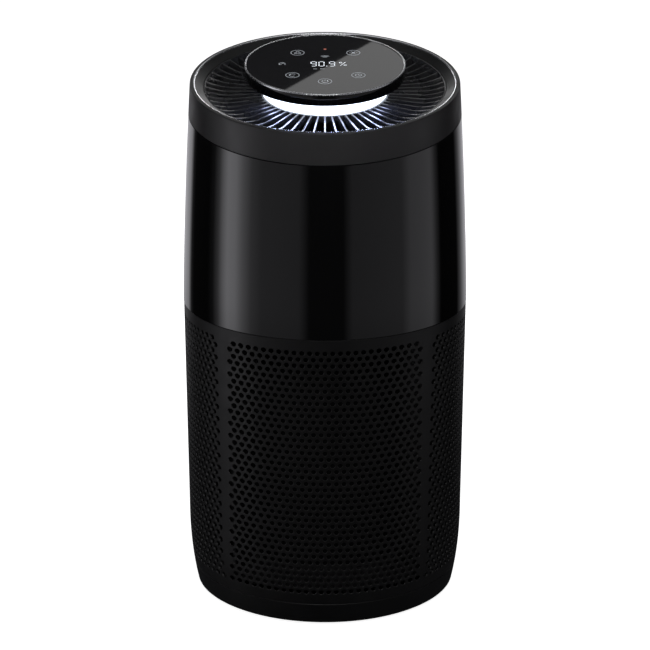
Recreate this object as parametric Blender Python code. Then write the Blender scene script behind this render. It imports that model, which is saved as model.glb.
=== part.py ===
"""Cylindrical tower air purifier with a slanted top, as separate pieces in metres.

+Z is up, -Y is the front, and the origin is on the floor at the middle of the base.
Room air enters the perforated lower shell and a ring filter, rises through a centrifugal
fan, and leaves through the radial vanes of a dished grille round a raised display pod.
The head is slanted: its ring-shaped pieces stay round from above and drop to the front.
"""

import math

import bmesh
import bpy
from mathutils import Matrix, Vector

# --- Driving dimensions -----------------------------------------------------------------
BODY_R = 0.1624            # widest radius, at the seam between the two shells
SEAM_Z = 0.345             # height of that seam
HEAD_HEIGHT = 0.254        # from the seam to the rim plane, on the axis
TOP_SLOPE = 0.162          # rise of the slanted top, per metre towards the back
UPPER_TAPER = 0.0109       # how much narrower the body is at the rim plane
SEAM_STEP = 0.0004         # how far the lower shell stands in from the upper one
LOWER_TAPER = 0.0027       # narrowing from the seam down to the rounded foot of the body
FOOT_ROUND_HEIGHT = 0.10   # height of that rounding
FOOT_ROUND_DEPTH = 0.0098  # narrowing over it
WALL = 0.0028              # thickness of the outer shells
GAP = 0.0003               # between pieces that touch
FIT = 0.0010               # between round pieces that slide into each other
SEAM_GAP = 0.0004          # visible parting lines between the shells

# Base
FOOT_HEIGHT = 0.003
FOOT_R = 0.011
FOOT_INSET = 0.024
BASE_SPLIT_Z = 0.028       # parting line between the base pan and the perforated shell
FLOOR_T = 0.0025
LIP_HEIGHT = 0.006         # locating lips inside the parting lines
LIP_T = 0.002
TRAY_TOP_Z = 0.047         # what the filter stands on
TRAY_T = 0.003
TRAY_RIDGE_HEIGHT = 0.004
BOSS_R = 0.005
SCREW_HEAD_R = 0.0034
SCREW_HEAD_T = 0.0022
SCREW_R = 0.0015
SCREW_CLEAR_R = 0.0021
BASE_SCREW_RING_R = 0.104
BOARD_T = 0.0016
POWER_BOARD = (0.100, 0.070)
TRANSFORMER = (0.036, 0.030, 0.020)
INLET = (0.026, 0.022, 0.0155)
INLET_Z = 0.0165
INLET_POCKET = (0.0140, 0.012, 0.0080)

# Perforated section: coarse upright slots stand for the fine holes
SLOT_COUNT = 8             # slots across each quarter
SLOT_PITCH = math.radians(10)
SLOT_WIDTH = math.radians(4)
SLOT_ROWS = 2
SLOT_FIELD_LOW = 0.0411    # height of the first hole edge
SLOT_FIELD_MARGIN = 0.0128  # solid margin under the seam
SLOT_RIB = 0.008
DOOR_HALF = math.radians(45)
DOOR_LOW_Z = 0.0340
DOOR_TOP_MARGIN = 0.0070
DOOR_GAP = 0.0006
DOOR_NOTCH = (0.024, 0.0058)
MAGNET = (0.0080, 0.0038, 0.0038)
MAGNET_X = 0.030

# Filter
FILTER_SIDE_CLEARANCE = 0.003
CAP_T = 0.005
CAP_INNER_R = 0.066
CARBON_T = 0.0035
PLEATS = 30
PLEAT_DEPTH = 0.0065
MESH_T = 0.001
GASKET_W = 0.012
GASKET_T = 0.0047
TAB = (0.030, 0.013, 0.003)

# Fan
DECK_T = 0.0035
DECK_DROP = 0.0085         # deck top below the seam
BELL_R = 0.0745
BELL_HEIGHT = 0.0115
BELL_T = 0.002
GUARD_SPOKES = 8
IMPELLER_R = 0.104
IMPELLER_HEIGHT = 0.070
IMPELLER_CLEARANCE = 0.0065  # over the deck
BLADES = 7
BLADE_T = 0.002
BLADE_SWEEP = math.radians(52)
PLATE_T = 0.0025
HUB_R = 0.012
HUB_DEPTH = 0.016
SHAFT_R = 0.004
TIP_GAP = 0.004
DUCT_T = 0.002
STATOR_VANES = 9
STATOR_VANE_HEIGHT = 0.027
STATOR_T = 0.003
STATOR_GAP = 0.0075        # over the impeller
STATOR_HUB_R = 0.0585
STATOR_BORE_R = 0.0135
MOTOR_R = 0.034
MOTOR_HEIGHT = 0.032
MOTOR_FLOOR_T = 0.004
MOTOR_CAP_T = 0.0025
MOTOR_SCREW_RING_R = 0.024
BEARING_R = 0.0087
WINDING_INNER_R = 0.0185
ROTOR_R = 0.0175
COVER_HEIGHT = 0.050
COVER_T = 0.002

# Slanted top, heights measured from the rim plane
BAND_HEIGHT = 0.034
RIM_EDGE_IN = 0.0024       # from the outer wall to the bright inner edge
LIP_RING_IN = 0.0151       # from the outer wall to where the grille starts
LIP_DROP = 0.0060
VANES = 60
VANE_T = 0.0020
VANE_DEPTH = 0.008
DISH_DROP = 0.0125         # flat floor of the dish
DISH_FLAT_SHARE = 0.62     # how much of the vane's run is flat
HUB_HOLE_R = 0.030
HUB_T = 0.0025
LIGHT_R = 0.070
LIGHT_T = 0.0028
LED_STRIP_T = 0.0008
POD_R = 0.090
POD_LOW = 0.0048
POD_FLOOR_T = 0.0025
POD_WALL = 0.0035
GLASS_TOP = 0.0183
GLASS_T = 0.0015
BEZEL_W = 0.0016
BEZEL_PROUD = 0.0004
COLLAR_T = 0.0025
POD_SCREWS = 3
POD_SCREW_RING_R = 0.050

# Sensor behind the flap
FLAP_LOW = 0.055           # over the seam
FLAP_HEIGHT = 0.040
FLAP_HALF = math.radians(7.5)
FLAP_GAP = 0.0007
SENSOR = (0.034, 0.026)    # width and height; its depth fills the space to the duct
SENSOR_SPACE = 0.003
SENSOR_PORT_R = 0.006

# Leads, behind the solid strip at the front left
LEAD_ANGLE = math.radians(225)
LEAD_R = 0.0022
LEAD_HOLE_FIT = 0.0022
LEAD_WALL_DISTANCE = 0.0112
LEAD_STEPS = 3

SHELL_STEPS = 48
ROUND_STEPS = 24
SMALL_STEPS = 12
SHARP = math.radians(35)

RIM_Z = SEAM_Z + HEAD_HEIGHT
DECK_TOP_Z = SEAM_Z - DECK_DROP
DECK_LOW_Z = DECK_TOP_Z - DECK_T
DOOR_TOP_Z = SEAM_Z - DOOR_TOP_MARGIN
FRONT = math.radians(270)
BACK = math.radians(90)

COLOURS = {
    "gloss_shell": ((0.010, 0.010, 0.011), 0.08, 0.0),
    "matte_shell": ((0.022, 0.022, 0.024), 0.55, 0.0),
    "inner_plastic": ((0.030, 0.030, 0.032), 0.60, 0.0),
    "grille": ((0.020, 0.020, 0.022), 0.45, 0.0),
    "light_guide": ((0.850, 0.920, 1.000), 0.35, 0.0),
    "glass": ((0.012, 0.012, 0.014), 0.05, 0.0),
    "bright_metal": ((0.800, 0.800, 0.820), 0.20, 1.0),
    "steel": ((0.500, 0.500, 0.510), 0.35, 1.0),
    "copper": ((0.650, 0.300, 0.140), 0.40, 1.0),
    "circuit_board": ((0.020, 0.120, 0.060), 0.50, 0.0),
    "rubber": ((0.020, 0.020, 0.020), 0.85, 0.0),
    "filter_paper": ((0.820, 0.830, 0.820), 0.90, 0.0),
    "carbon": ((0.015, 0.015, 0.015), 0.90, 0.0),
    "foam": ((0.060, 0.060, 0.065), 0.95, 0.0),
}


# --- Body outline -----------------------------------------------------------------------
def wall_radius(height):
    """Outer radius of the body at a height."""
    if height >= SEAM_Z:
        return BODY_R - UPPER_TAPER * ((height - SEAM_Z) / HEAD_HEIGHT) ** 1.4
    lower_r = BODY_R - SEAM_STEP
    taper = LOWER_TAPER * min(1.0, (SEAM_Z - height) / (SEAM_Z - FOOT_ROUND_HEIGHT))
    rounding = max(0.0, 1.0 - height / FOOT_ROUND_HEIGHT)
    return lower_r - taper - FOOT_ROUND_DEPTH * rounding ** 2.4


RIM_R = wall_radius(RIM_Z)
GRILLE_R = RIM_R - LIP_RING_IN - FIT / 2


def at(radius, height, slope=0.0):
    """A profile point at a fixed radius. Its ring tips about X by the slope."""
    def point(angle):
        x, y = radius * math.cos(angle), radius * math.sin(angle)
        return Vector((x, y, height + slope * y))
    return point


def on_wall(inset, height, slope=0.0):
    """A profile point a distance inside the body's outer wall."""
    def point(angle):
        level = height
        for _ in range(4):
            radius = wall_radius(level) - inset
            level = height + slope * radius * math.sin(angle)
        return Vector((radius * math.cos(angle), radius * math.sin(angle), level))
    return point


def top(radius, drop):
    """A profile point in the slanted head: negative drop is above the rim plane."""
    return at(radius, RIM_Z - drop, TOP_SLOPE)


# --- Mesh helpers -----------------------------------------------------------------------
def material(name):
    found = bpy.data.materials.get(name)
    if found:
        return found
    colour, roughness, metallic = COLOURS[name]
    made = bpy.data.materials.new(name)
    made.use_nodes = True
    shader = made.node_tree.nodes["Principled BSDF"]
    shader.inputs["Base Color"].default_value = (*colour, 1.0)
    shader.inputs["Roughness"].default_value = roughness
    shader.inputs["Metallic"].default_value = metallic
    return made


def add(name, bm, finish):
    """Finish a bmesh as one named object with its own material."""
    bmesh.ops.recalc_face_normals(bm, faces=bm.faces)
    mesh = bpy.data.meshes.new(name)
    bm.to_mesh(mesh)
    bm.free()
    mesh.shade_smooth()
    mesh.set_sharp_from_angle(angle=SHARP)
    made = bpy.data.objects.new(name, mesh)
    bpy.context.scene.collection.objects.link(made)
    if finish:
        mesh.materials.append(material(finish))
    else:
        made.hide_render = True
        made.display_type = "WIRE"
    return made


def ring_faces(bm, rings, closed):
    """Join neighbouring rings of vertices. A ring may be a single vertex on the axis."""
    pairs = list(zip(rings, rings[1:])) + ([(rings[-1], rings[0])] if closed else [])
    for low, high in pairs:
        steps = max(len(low), len(high))
        if steps == 1:
            continue
        for i in range(steps):
            j = (i + 1) % steps
            corners = [low[i % len(low)], low[j % len(low)], high[j % len(high)], high[i % len(high)]]
            bm.faces.new(list(dict.fromkeys(corners)))


def add_turned(bm, profile, steps, angles=None):
    """Turn a closed outline of profile points about Z."""
    angles = angles or [math.tau * i / steps for i in range(steps)]
    rings = []
    for point in profile:
        places = [point(angle) for angle in angles]
        on_axis = all(place.xy.length < 1e-7 for place in places)
        rings.append([bm.verts.new(place) for place in (places[:1] if on_axis else places)])
    ring_faces(bm, rings, closed=True)


def turned(name, profile, finish, steps=ROUND_STEPS):
    bm = bmesh.new()
    add_turned(bm, profile, steps)
    return add(name, bm, finish)


def tube_profile(point, inner, outer, low, high):
    """Square section between two radii and two heights, for at, on_wall or top."""
    return [point(inner, low), point(outer, low), point(outer, high), point(inner, high)]


def cells(name, angles, profile, solid, finish, closed=True):
    """A solid sheet on a grid of columns round Z and rows along a profile of point pairs.

    profile holds (front, back) points, and solid(column, row) says which cells are there.
    An angle may be a function of the radius, so that a column keeps its width.
    """
    bm = bmesh.new()
    count = len(angles) if closed else len(angles) - 1
    made = {}

    def corner(side, column, row):
        key = (side, column % len(angles), row)
        if key not in made:
            angle = angles[key[1]]
            point = profile[row][side]
            if callable(angle):
                angle = angle(point(0.0).xy.length)
            made[key] = bm.verts.new(point(angle))
        return made[key]

    def here(column, row):
        if not closed and not 0 <= column < count:
            return False
        return 0 <= row < len(profile) - 1 and solid(column % count, row)

    for column in range(count):
        for row in range(len(profile) - 1):
            if not here(column, row):
                continue
            ring = [(column, row), (column + 1, row), (column + 1, row + 1), (column, row + 1)]
            bm.faces.new([corner(0, *key) for key in ring])
            bm.faces.new([corner(1, *key) for key in reversed(ring)])
            beside = [(column, row - 1), (column + 1, row), (column, row + 1), (column - 1, row)]
            for edge, other in enumerate(beside):
                if not here(*other):
                    first, second = ring[edge], ring[(edge + 1) % 4]
                    bm.faces.new([corner(0, *second), corner(0, *first),
                                  corner(1, *first), corner(1, *second)])
    return add(name, bm, finish)


def add_pin(bm, steps_up, centre, steps=SMALL_STEPS, slope=0.0):
    """An upright turned pin from (radius, height) steps, closed on its own axis."""
    rings = []
    for radius, height in [(0.0, steps_up[0][1]), *steps_up, (0.0, steps_up[-1][1])]:
        ring = []
        for i in range(1 if radius == 0.0 else steps):
            angle = math.tau * i / steps
            x = centre[0] + radius * math.cos(angle)
            y = centre[1] + radius * math.sin(angle)
            ring.append(bm.verts.new((x, y, height + slope * y)))
        rings.append(ring)
    ring_faces(bm, rings, closed=False)


def pins(name, steps_up, centres, finish=None, steps=SMALL_STEPS, slope=0.0):
    bm = bmesh.new()
    for centre in centres:
        add_pin(bm, steps_up, centre, steps, slope)
    return add(name, bm, finish)


def on_circle(radius, count, first=0.0):
    turns = [first + math.tau * i / count for i in range(count)]
    return [(radius * math.cos(turn), radius * math.sin(turn)) for turn in turns]


def add_block(bm, low, high):
    size = Vector(high) - Vector(low)
    middle = (Vector(high) + Vector(low)) / 2
    place = Matrix.Translation(middle) @ Matrix.Diagonal((*size, 1.0))
    return bmesh.ops.create_cube(bm, size=1.0, matrix=place)


def block(name, low, high, finish=None, bevel=0.0):
    bm = bmesh.new()
    add_block(bm, low, high)
    if bevel:
        bmesh.ops.bevel(bm, geom=bm.edges[:], offset=bevel, segments=1, affect="EDGES")
    return add(name, bm, finish)


def boolean(target, operation, other):
    step = target.modifiers.new(other.name, "BOOLEAN")
    step.operation = operation
    step.solver = "EXACT"
    step.object = other


def screw(name, centre, under_head, reach, finish="steel", slope=0.0):
    """A pan-head screw driven upwards, from its head's seat to the tip of its shank."""
    edge = SCREW_HEAD_R * 0.8
    head_low = under_head - SCREW_HEAD_T
    steps_up = [(edge, head_low), (SCREW_HEAD_R, head_low + SCREW_HEAD_T * 0.4),
                (SCREW_HEAD_R, under_head), (SCREW_R, under_head), (SCREW_R, under_head + reach)]
    return pins(name, steps_up, [centre], finish, steps=10, slope=slope)


# --- Base -------------------------------------------------------------------------------
BASE_SCREWS = on_circle(BASE_SCREW_RING_R, 4, math.radians(20))


def base_pan():
    rise = [FOOT_HEIGHT + share * (BASE_SPLIT_Z - FOOT_HEIGHT) for share in (0.12, 0.4, 0.7)]
    floor_z = FOOT_HEIGHT + FLOOR_T
    lip_r = WALL + FIT
    outline = [
        at(0.0, FOOT_HEIGHT), on_wall(0.004, FOOT_HEIGHT),
        *[on_wall(0.0, height) for height in rise], on_wall(0.0, BASE_SPLIT_Z),
        on_wall(lip_r, BASE_SPLIT_Z), on_wall(lip_r, BASE_SPLIT_Z + LIP_HEIGHT),
        on_wall(lip_r + LIP_T, BASE_SPLIT_Z + LIP_HEIGHT), on_wall(lip_r + LIP_T, floor_z),
        at(0.0, floor_z),
    ]
    pan = turned("base_pan", outline, "matte_shell", SHELL_STEPS)
    holes = pins("base_screw_holes", [(SCREW_CLEAR_R, 0.0), (SCREW_CLEAR_R, BASE_SPLIT_Z)], BASE_SCREWS)
    boolean(pan, "DIFFERENCE", holes)
    half, depth, half_height = INLET[0] / 2 + GAP, INLET[1], INLET[2] / 2 + GAP
    inner_y = wall_radius(INLET_Z) - depth
    port = block("inlet_port", (-half, inner_y, INLET_Z - half_height),
                 (half, BODY_R, INLET_Z + half_height))
    boolean(pan, "DIFFERENCE", port)


def feet():
    ring_r = wall_radius(0.0) - FOOT_INSET
    steps_up = [(FOOT_R - 0.001, 0.0), (FOOT_R, 0.001), (FOOT_R, FOOT_HEIGHT - GAP)]
    for number, centre in enumerate(on_circle(ring_r, 4, math.radians(45)), 1):
        pins(f"foot_pad_{number}", steps_up, [centre], "rubber", steps=16)


def base_screws():
    for number, centre in enumerate(BASE_SCREWS, 1):
        under_head = FOOT_HEIGHT - GAP
        screw(f"base_screw_{number}", centre, under_head, 0.012)


def filter_tray():
    low = TRAY_TOP_Z - TRAY_T
    inset = WALL + FIT
    edge = [on_wall(inset, low), on_wall(inset, TRAY_TOP_Z)]
    tray = turned("filter_tray", [at(0.0, low), *edge, at(0.0, TRAY_TOP_Z)], "inner_plastic", SHELL_STEPS)
    post_low = FOOT_HEIGHT + FLOOR_T + GAP
    posts = pins("tray_posts", [(BOSS_R, post_low), (BOSS_R, low + 0.001)], BASE_SCREWS)
    pilots = pins("tray_pilots", [(SCREW_R + GAP, 0.0), (SCREW_R + GAP, 0.020)], BASE_SCREWS)
    ridge_r = filter_radius() + FIT
    ends = [FRONT - math.radians(70) + math.radians(140) * i / 14 for i in range(15)]
    ridge = cells("tray_ridge", ends,
                  [(at(ridge_r + 0.002, z), at(ridge_r, z))
                   for z in (TRAY_TOP_Z - 0.001, TRAY_TOP_Z + TRAY_RIDGE_HEIGHT)],
                  lambda column, row: True, None, closed=False)
    hole_r = LEAD_R + LEAD_HOLE_FIT
    lead_hole = pins("tray_lead_hole", [(hole_r, low - 0.002), (hole_r, TRAY_TOP_Z + 0.002)],
                     [lead_place(TRAY_TOP_Z)])
    for other, operation in ((posts, "UNION"), (ridge, "UNION"), (pilots, "DIFFERENCE"),
                             (lead_hole, "DIFFERENCE")):
        boolean(tray, operation, other)


def power_supply():
    low = FOOT_HEIGHT + FLOOR_T + 0.004
    half_x, half_y = POWER_BOARD[0] / 2, POWER_BOARD[1] / 2
    block("power_board", (-half_x, -half_y, low), (half_x, half_y, low + BOARD_T), "circuit_board")
    base = low + BOARD_T + GAP
    x, y, z = TRANSFORMER
    block("power_transformer", (-x / 2, -y / 2, base), (x / 2, y / 2, base + z), "inner_plastic", 0.002)


def mains_inlet():
    half_x, depth, half_z = INLET[0] / 2, INLET[1], INLET[2] / 2
    # The flat face stays just inside the curved wall at the inlet's corners.
    face_y = math.sqrt(wall_radius(INLET_Z - half_z) ** 2 - half_x ** 2) - 0.0006
    socket = block("mains_inlet", (-half_x, face_y - depth + 0.003, INLET_Z - half_z),
                   (half_x, face_y, INLET_Z + half_z), "inner_plastic", 0.001)
    pocket_x, pocket_depth, pocket_z = INLET_POCKET
    pocket = block("inlet_pocket", (-pocket_x / 2, face_y - pocket_depth, INLET_Z - pocket_z / 2),
                   (pocket_x / 2, face_y + 0.002, INLET_Z + pocket_z / 2), None, 0.0016)
    boolean(socket, "DIFFERENCE", pocket)


# --- Perforated section -----------------------------------------------------------------
def quarter_columns(middle, first_angle):
    """Columns across one quarter, as (angle where it starts, whether it is a slot)."""
    start = middle - SLOT_PITCH * (SLOT_COUNT - 1) / 2
    columns = [(first_angle, False)]
    for slot in range(SLOT_COUNT):
        centre = start + SLOT_PITCH * slot
        columns += [(centre - SLOT_WIDTH / 2, True), (centre + SLOT_WIDTH / 2, False)]
    return columns


def slot_rows():
    """Heights of the slot ends, from low to high."""
    low, high = SLOT_FIELD_LOW, SEAM_Z - SLOT_FIELD_MARGIN
    length = (high - low - SLOT_RIB * (SLOT_ROWS - 1)) / SLOT_ROWS
    heights = []
    for row in range(SLOT_ROWS):
        start = low + row * (length + SLOT_RIB)
        heights += [start, start + length]
    return heights


def wall_pair(height):
    return on_wall(0.0, height), on_wall(WALL, height)


def lower_shell():
    """A full ring at the top and bottom, a slotted wall on three sides, open at the back."""
    columns = quarter_columns(BACK, BACK - DOOR_HALF)
    opening = len(columns)
    columns += quarter_columns(math.pi, BACK + DOOR_HALF)
    for middle in (FRONT, math.tau):
        columns += quarter_columns(middle, middle - math.radians(45))
    low, high = BASE_SPLIT_Z + SEAM_GAP, SEAM_Z - SEAM_GAP / 2
    heights = [low, DOOR_LOW_Z - DOOR_GAP, *slot_rows(), DOOR_TOP_Z + DOOR_GAP, high]
    last = len(heights) - 2

    def solid(column, row):
        if row in (0, last):
            return True
        return column >= opening and not (columns[column][1] and row % 2 == 0)

    angles = [angle for angle, _ in columns]
    cells("lower_shell", angles, [wall_pair(height) for height in heights], solid, "matte_shell")


def filter_door():
    side_gap = DOOR_GAP / BODY_R
    columns = quarter_columns(BACK, BACK - DOOR_HALF + side_gap)
    angles = [angle for angle, _ in columns] + [BACK + DOOR_HALF - side_gap]
    heights = [DOOR_LOW_Z, *slot_rows(), DOOR_TOP_Z]
    door = cells("filter_door", angles, [wall_pair(height) for height in heights],
                 lambda column, row: not (columns[column][1] and row % 2 == 1),
                 "matte_shell", closed=False)
    half, height = DOOR_NOTCH[0] / 2, DOOR_NOTCH[1]
    notch = block("door_notch", (-half, BODY_R - 0.03, DOOR_LOW_Z - height),
                  (half, BODY_R + 0.01, DOOR_LOW_Z + height), None, height * 0.6)
    boolean(door, "DIFFERENCE", notch)


def magnets():
    """Pairs that hold the door: one on the door, one in a notch of the fan deck."""
    width, depth, height = MAGNET
    low = DECK_LOW_Z + GAP
    door_inner = wall_radius(DOOR_TOP_Z) - WALL
    outer_y = math.sqrt(door_inner ** 2 - (MAGNET_X + width / 2) ** 2) - GAP - 0.0004
    for number, side in enumerate((-1, 1), 1):
        x = side * MAGNET_X
        for name, y in (("door_magnet", outer_y), ("frame_magnet", outer_y - depth - GAP)):
            block(f"{name}_{number}", (x - width / 2, y - depth, low),
                  (x + width / 2, y, low + height), "steel")
    return outer_y - 2 * depth - 2 * GAP


# --- Filter -----------------------------------------------------------------------------
def filter_radius():
    """The cartridge passes between the edges of the door opening."""
    opening = (wall_radius(TRAY_TOP_Z) - WALL) * math.sin(DOOR_HALF)
    return opening - FILTER_SIDE_CLEARANCE


FILTER_LOW_Z = TRAY_TOP_Z + 0.0005
FILTER_TOP_Z = DECK_LOW_Z - GASKET_T - 0.0008


def filter_cartridge():
    outer = filter_radius()
    low_cap, top_cap = FILTER_LOW_Z + CAP_T, FILTER_TOP_Z - CAP_T
    for name, low in (("filter_cap_bottom", FILTER_LOW_Z), ("filter_cap_top", top_cap)):
        high = low + CAP_T
        turned(name, [at(CAP_INNER_R, low), at(outer - 0.001, low), at(outer, low + 0.001),
                      at(outer, high - 0.001), at(outer - 0.001, high), at(CAP_INNER_R, high)],
               "inner_plastic")
    low, high = low_cap + GAP, top_cap - GAP
    carbon_r = CAP_INNER_R + CARBON_T
    turned("carbon_layer", tube_profile(at, CAP_INNER_R, carbon_r, low, high), "carbon")

    mesh_r = outer - 0.0018
    media_out = mesh_r - MESH_T - 1.5 * FIT
    media_in = carbon_r + 0.002

    def pleat(ridge, depth, height):
        def point(angle):
            fold = round(angle / math.tau * 2 * PLEATS) % 2
            radius = ridge - depth * fold
            return at(radius, height)(angle)
        return point

    bm = bmesh.new()
    outline = [pleat(media_in + PLEAT_DEPTH, PLEAT_DEPTH, low), pleat(media_out, PLEAT_DEPTH, low),
               pleat(media_out, PLEAT_DEPTH, high), pleat(media_in + PLEAT_DEPTH, PLEAT_DEPTH, high)]
    add_turned(bm, outline, 2 * PLEATS)
    add("filter_media", bm, "filter_paper")

    run = high - low
    heights = [low + run * share for share in (0.0, 0.03, 0.485, 0.515, 0.97, 1.0)]
    angles = [math.tau * i / ROUND_STEPS for i in range(ROUND_STEPS)]
    cells("prefilter_mesh", angles, [(at(mesh_r, z), at(mesh_r - MESH_T, z)) for z in heights],
          lambda column, row: not (column % 2 and row % 2), "foam")

    ring_r = BELL_R + FIT + 0.003
    turned("filter_gasket", tube_profile(at, ring_r, ring_r + GASKET_W, FILTER_TOP_Z + GAP,
                                         FILTER_TOP_Z + GASKET_T), "foam")
    width, length, thick = TAB
    block("filter_pull_tab", (-width / 2, outer + GAP, FILTER_LOW_Z + 0.001),
          (width / 2, outer + GAP + length, FILTER_LOW_Z + 0.001 + thick), "inner_plastic", 0.0009)


# --- Fan --------------------------------------------------------------------------------
IMPELLER_LOW_Z = DECK_TOP_Z + IMPELLER_CLEARANCE
IMPELLER_TOP_Z = IMPELLER_LOW_Z + IMPELLER_HEIGHT
STATOR_LOW_Z = IMPELLER_TOP_Z + STATOR_GAP
STATOR_TOP_Z = STATOR_LOW_Z + STATOR_T
VANE_TOP_Z = STATOR_LOW_Z + STATOR_VANE_HEIGHT
MOTOR_LOW_Z = STATOR_TOP_Z + GAP
MOTOR_TOP_Z = MOTOR_LOW_Z + MOTOR_HEIGHT
MOTOR_SCREWS = on_circle(MOTOR_SCREW_RING_R, 3, math.radians(30))
DUCT_LOW_R = IMPELLER_R + TIP_GAP
DUCT_TOP_R = GRILLE_R - 0.0015


def duct_radius(height):
    """Inner radius of the widening air duct."""
    share = (height - DECK_TOP_Z) / (RIM_Z - DISH_DROP - VANE_DEPTH - DECK_TOP_Z)
    return DUCT_LOW_R + (DUCT_TOP_R - DUCT_LOW_R) * share


def fan_deck(notch_y):
    edge = WALL + FIT
    outline = [at(BELL_R, DECK_LOW_Z + 0.001), at(BELL_R + 0.002, DECK_LOW_Z),
               on_wall(edge, DECK_LOW_Z), on_wall(edge, DECK_TOP_Z),
               at(BELL_R + BELL_T, DECK_TOP_Z),
               at(BELL_R + BELL_T, DECK_TOP_Z + BELL_HEIGHT), at(BELL_R, DECK_TOP_Z + BELL_HEIGHT)]
    deck = turned("fan_deck", outline, "inner_plastic", SHELL_STEPS)
    half = MAGNET[0] / 2 + FIT
    bm = bmesh.new()
    for side in (-1, 1):
        add_block(bm, (side * MAGNET_X - half, notch_y, DECK_LOW_Z - 0.01),
                  (side * MAGNET_X + half, BODY_R, DECK_TOP_Z + 0.01))
    boolean(deck, "DIFFERENCE", add("deck_notches", bm, None))
    hole = LEAD_R + LEAD_HOLE_FIT
    lead_hole = pins("deck_lead_hole", [(hole, DECK_LOW_Z - 0.002), (hole, DECK_TOP_Z + 0.002)],
                     [lead_place(DECK_TOP_Z)])
    boolean(deck, "DIFFERENCE", lead_hole)


def spoked(count, width, gaps):
    """Angles of columns: each spoke keeps its width, with a few gap columns after it."""
    angles = []
    for spoke in range(count):
        middle = math.tau * spoke / count
        pitch = math.tau / count
        angles.append(lambda r, a=middle: a - width / 2 / r)
        angles.append(lambda r, a=middle: a + width / 2 / r)
        for gap in range(1, gaps):
            angles.append(lambda r, a=middle, g=gap: a + pitch * g / gaps)
    return angles


def inlet_guard():
    gaps = 2
    outer = BELL_R - 1.5 * FIT
    radii = [0.008, 0.011, 0.040, 0.0425, outer - 0.003, outer]
    low, high = DECK_LOW_Z + 0.0008, DECK_TOP_Z
    cells("inlet_guard", spoked(GUARD_SPOKES, 0.003, gaps), [(at(r, high), at(r, low)) for r in radii],
          lambda column, row: row % 2 == 0 or column % (gaps + 1) == 0, "inner_plastic")


def impeller():
    plate_low = IMPELLER_TOP_Z - PLATE_T
    hub_low = IMPELLER_TOP_Z - HUB_DEPTH
    bore = SHAFT_R + GAP
    plate = [at(bore, hub_low), at(HUB_R, hub_low), at(HUB_R, plate_low), at(IMPELLER_R, plate_low),
             at(IMPELLER_R, IMPELLER_TOP_Z), at(bore, IMPELLER_TOP_Z)]
    wheel = turned("impeller", plate, "inner_plastic")
    eye_r = BELL_R + BELL_T + 0.003
    shroud_z = IMPELLER_LOW_Z + 0.006
    shroud = turned("impeller_shroud", [
        at(eye_r, IMPELLER_LOW_Z), at(eye_r + 0.002, IMPELLER_LOW_Z),
        at(eye_r + 0.004, shroud_z), at(IMPELLER_R, shroud_z + 0.004),
        at(IMPELLER_R, shroud_z + 0.006), at(eye_r + 0.003, shroud_z + 0.002),
        at(eye_r, shroud_z)], None)
    bm = bmesh.new()
    inner_r, steps = 0.064, 3
    for blade in range(BLADES):
        first = math.tau * blade / BLADES
        sections = []
        for step in range(steps + 1):
            share = step / steps
            radius = inner_r + (IMPELLER_R - 0.0005 - inner_r) * share
            angle = first - BLADE_SWEEP * share
            half = BLADE_T / 2 / radius * 1.3
            low = shroud_z + 0.001 + 0.004 * share
            corners = [(angle - half, low), (angle + half, low),
                       (angle + half, plate_low + 0.001), (angle - half, plate_low + 0.001)]
            sections.append([bm.verts.new(at(radius, z)(a)) for a, z in corners])
        ring_faces(bm, sections, closed=False)
        bm.faces.new(sections[0])
        bm.faces.new(sections[-1])
    blades = add("impeller_blades", bm, None)
    boolean(wheel, "UNION", blades)
    boolean(wheel, "UNION", shroud)


def shaft_parts():
    nut_low = IMPELLER_TOP_Z - HUB_DEPTH - GAP - 0.005
    pins("motor_shaft", [(SHAFT_R, nut_low - 0.002), (SHAFT_R, MOTOR_TOP_Z + 0.004)],
         [(0.0, 0.0)], "steel", steps=24)
    bore = SHAFT_R + GAP
    turned("impeller_nut", tube_profile(at, bore, 0.0075, nut_low, nut_low + 0.005), "steel", 6 * 4)
    floor = MOTOR_LOW_Z + MOTOR_FLOOR_T + 0.002
    turned("motor_rotor", tube_profile(at, bore, ROTOR_R, floor + 0.001, MOTOR_TOP_Z - 0.006),
           "steel", 24)


def air_duct():
    slant = RIM_Z - DISH_DROP - VANE_DEPTH
    flange_low = slant - 0.004
    flange_r = GRILLE_R + 0.003
    low = DECK_TOP_Z + GAP
    outline = [at(duct_radius(low), low), at(duct_radius(low) + DUCT_T, low)]
    middle = (low + slant) / 2
    outline += [at(duct_radius(middle) + DUCT_T, middle),
                at(DUCT_TOP_R + DUCT_T, flange_low, TOP_SLOPE), at(flange_r, flange_low, TOP_SLOPE),
                at(flange_r, slant - GAP, TOP_SLOPE), at(DUCT_TOP_R, slant - GAP, TOP_SLOPE),
                at(duct_radius(middle), middle)]
    duct = turned("air_duct", outline, "inner_plastic")
    motor_level, display_level = motor_lead_height(), under_grille(DUCT_TOP_R)
    for name, level, radius in (("motor_lead_hole", motor_level, duct_radius(motor_level)),
                                ("display_lead_hole", display_level, DUCT_TOP_R)):
        boolean(duct, "DIFFERENCE", radial_hole(name, level, radius - 0.012, radius + 0.012))


def radial_hole(name, level, near, far):
    """A level cutter along the leads' direction, between two radii."""
    bm = bmesh.new()
    add_pin(bm, [(LEAD_R + LEAD_HOLE_FIT, near), (LEAD_R + LEAD_HOLE_FIT, far)], (0.0, 0.0))
    turn = Matrix.Rotation(LEAD_ANGLE, 4, "Z") @ Matrix.Rotation(math.pi / 2, 4, "Y")
    bmesh.ops.transform(bm, matrix=Matrix.Translation((0.0, 0.0, level)) @ turn, verts=bm.verts)
    return add(name, bm, None)


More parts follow.
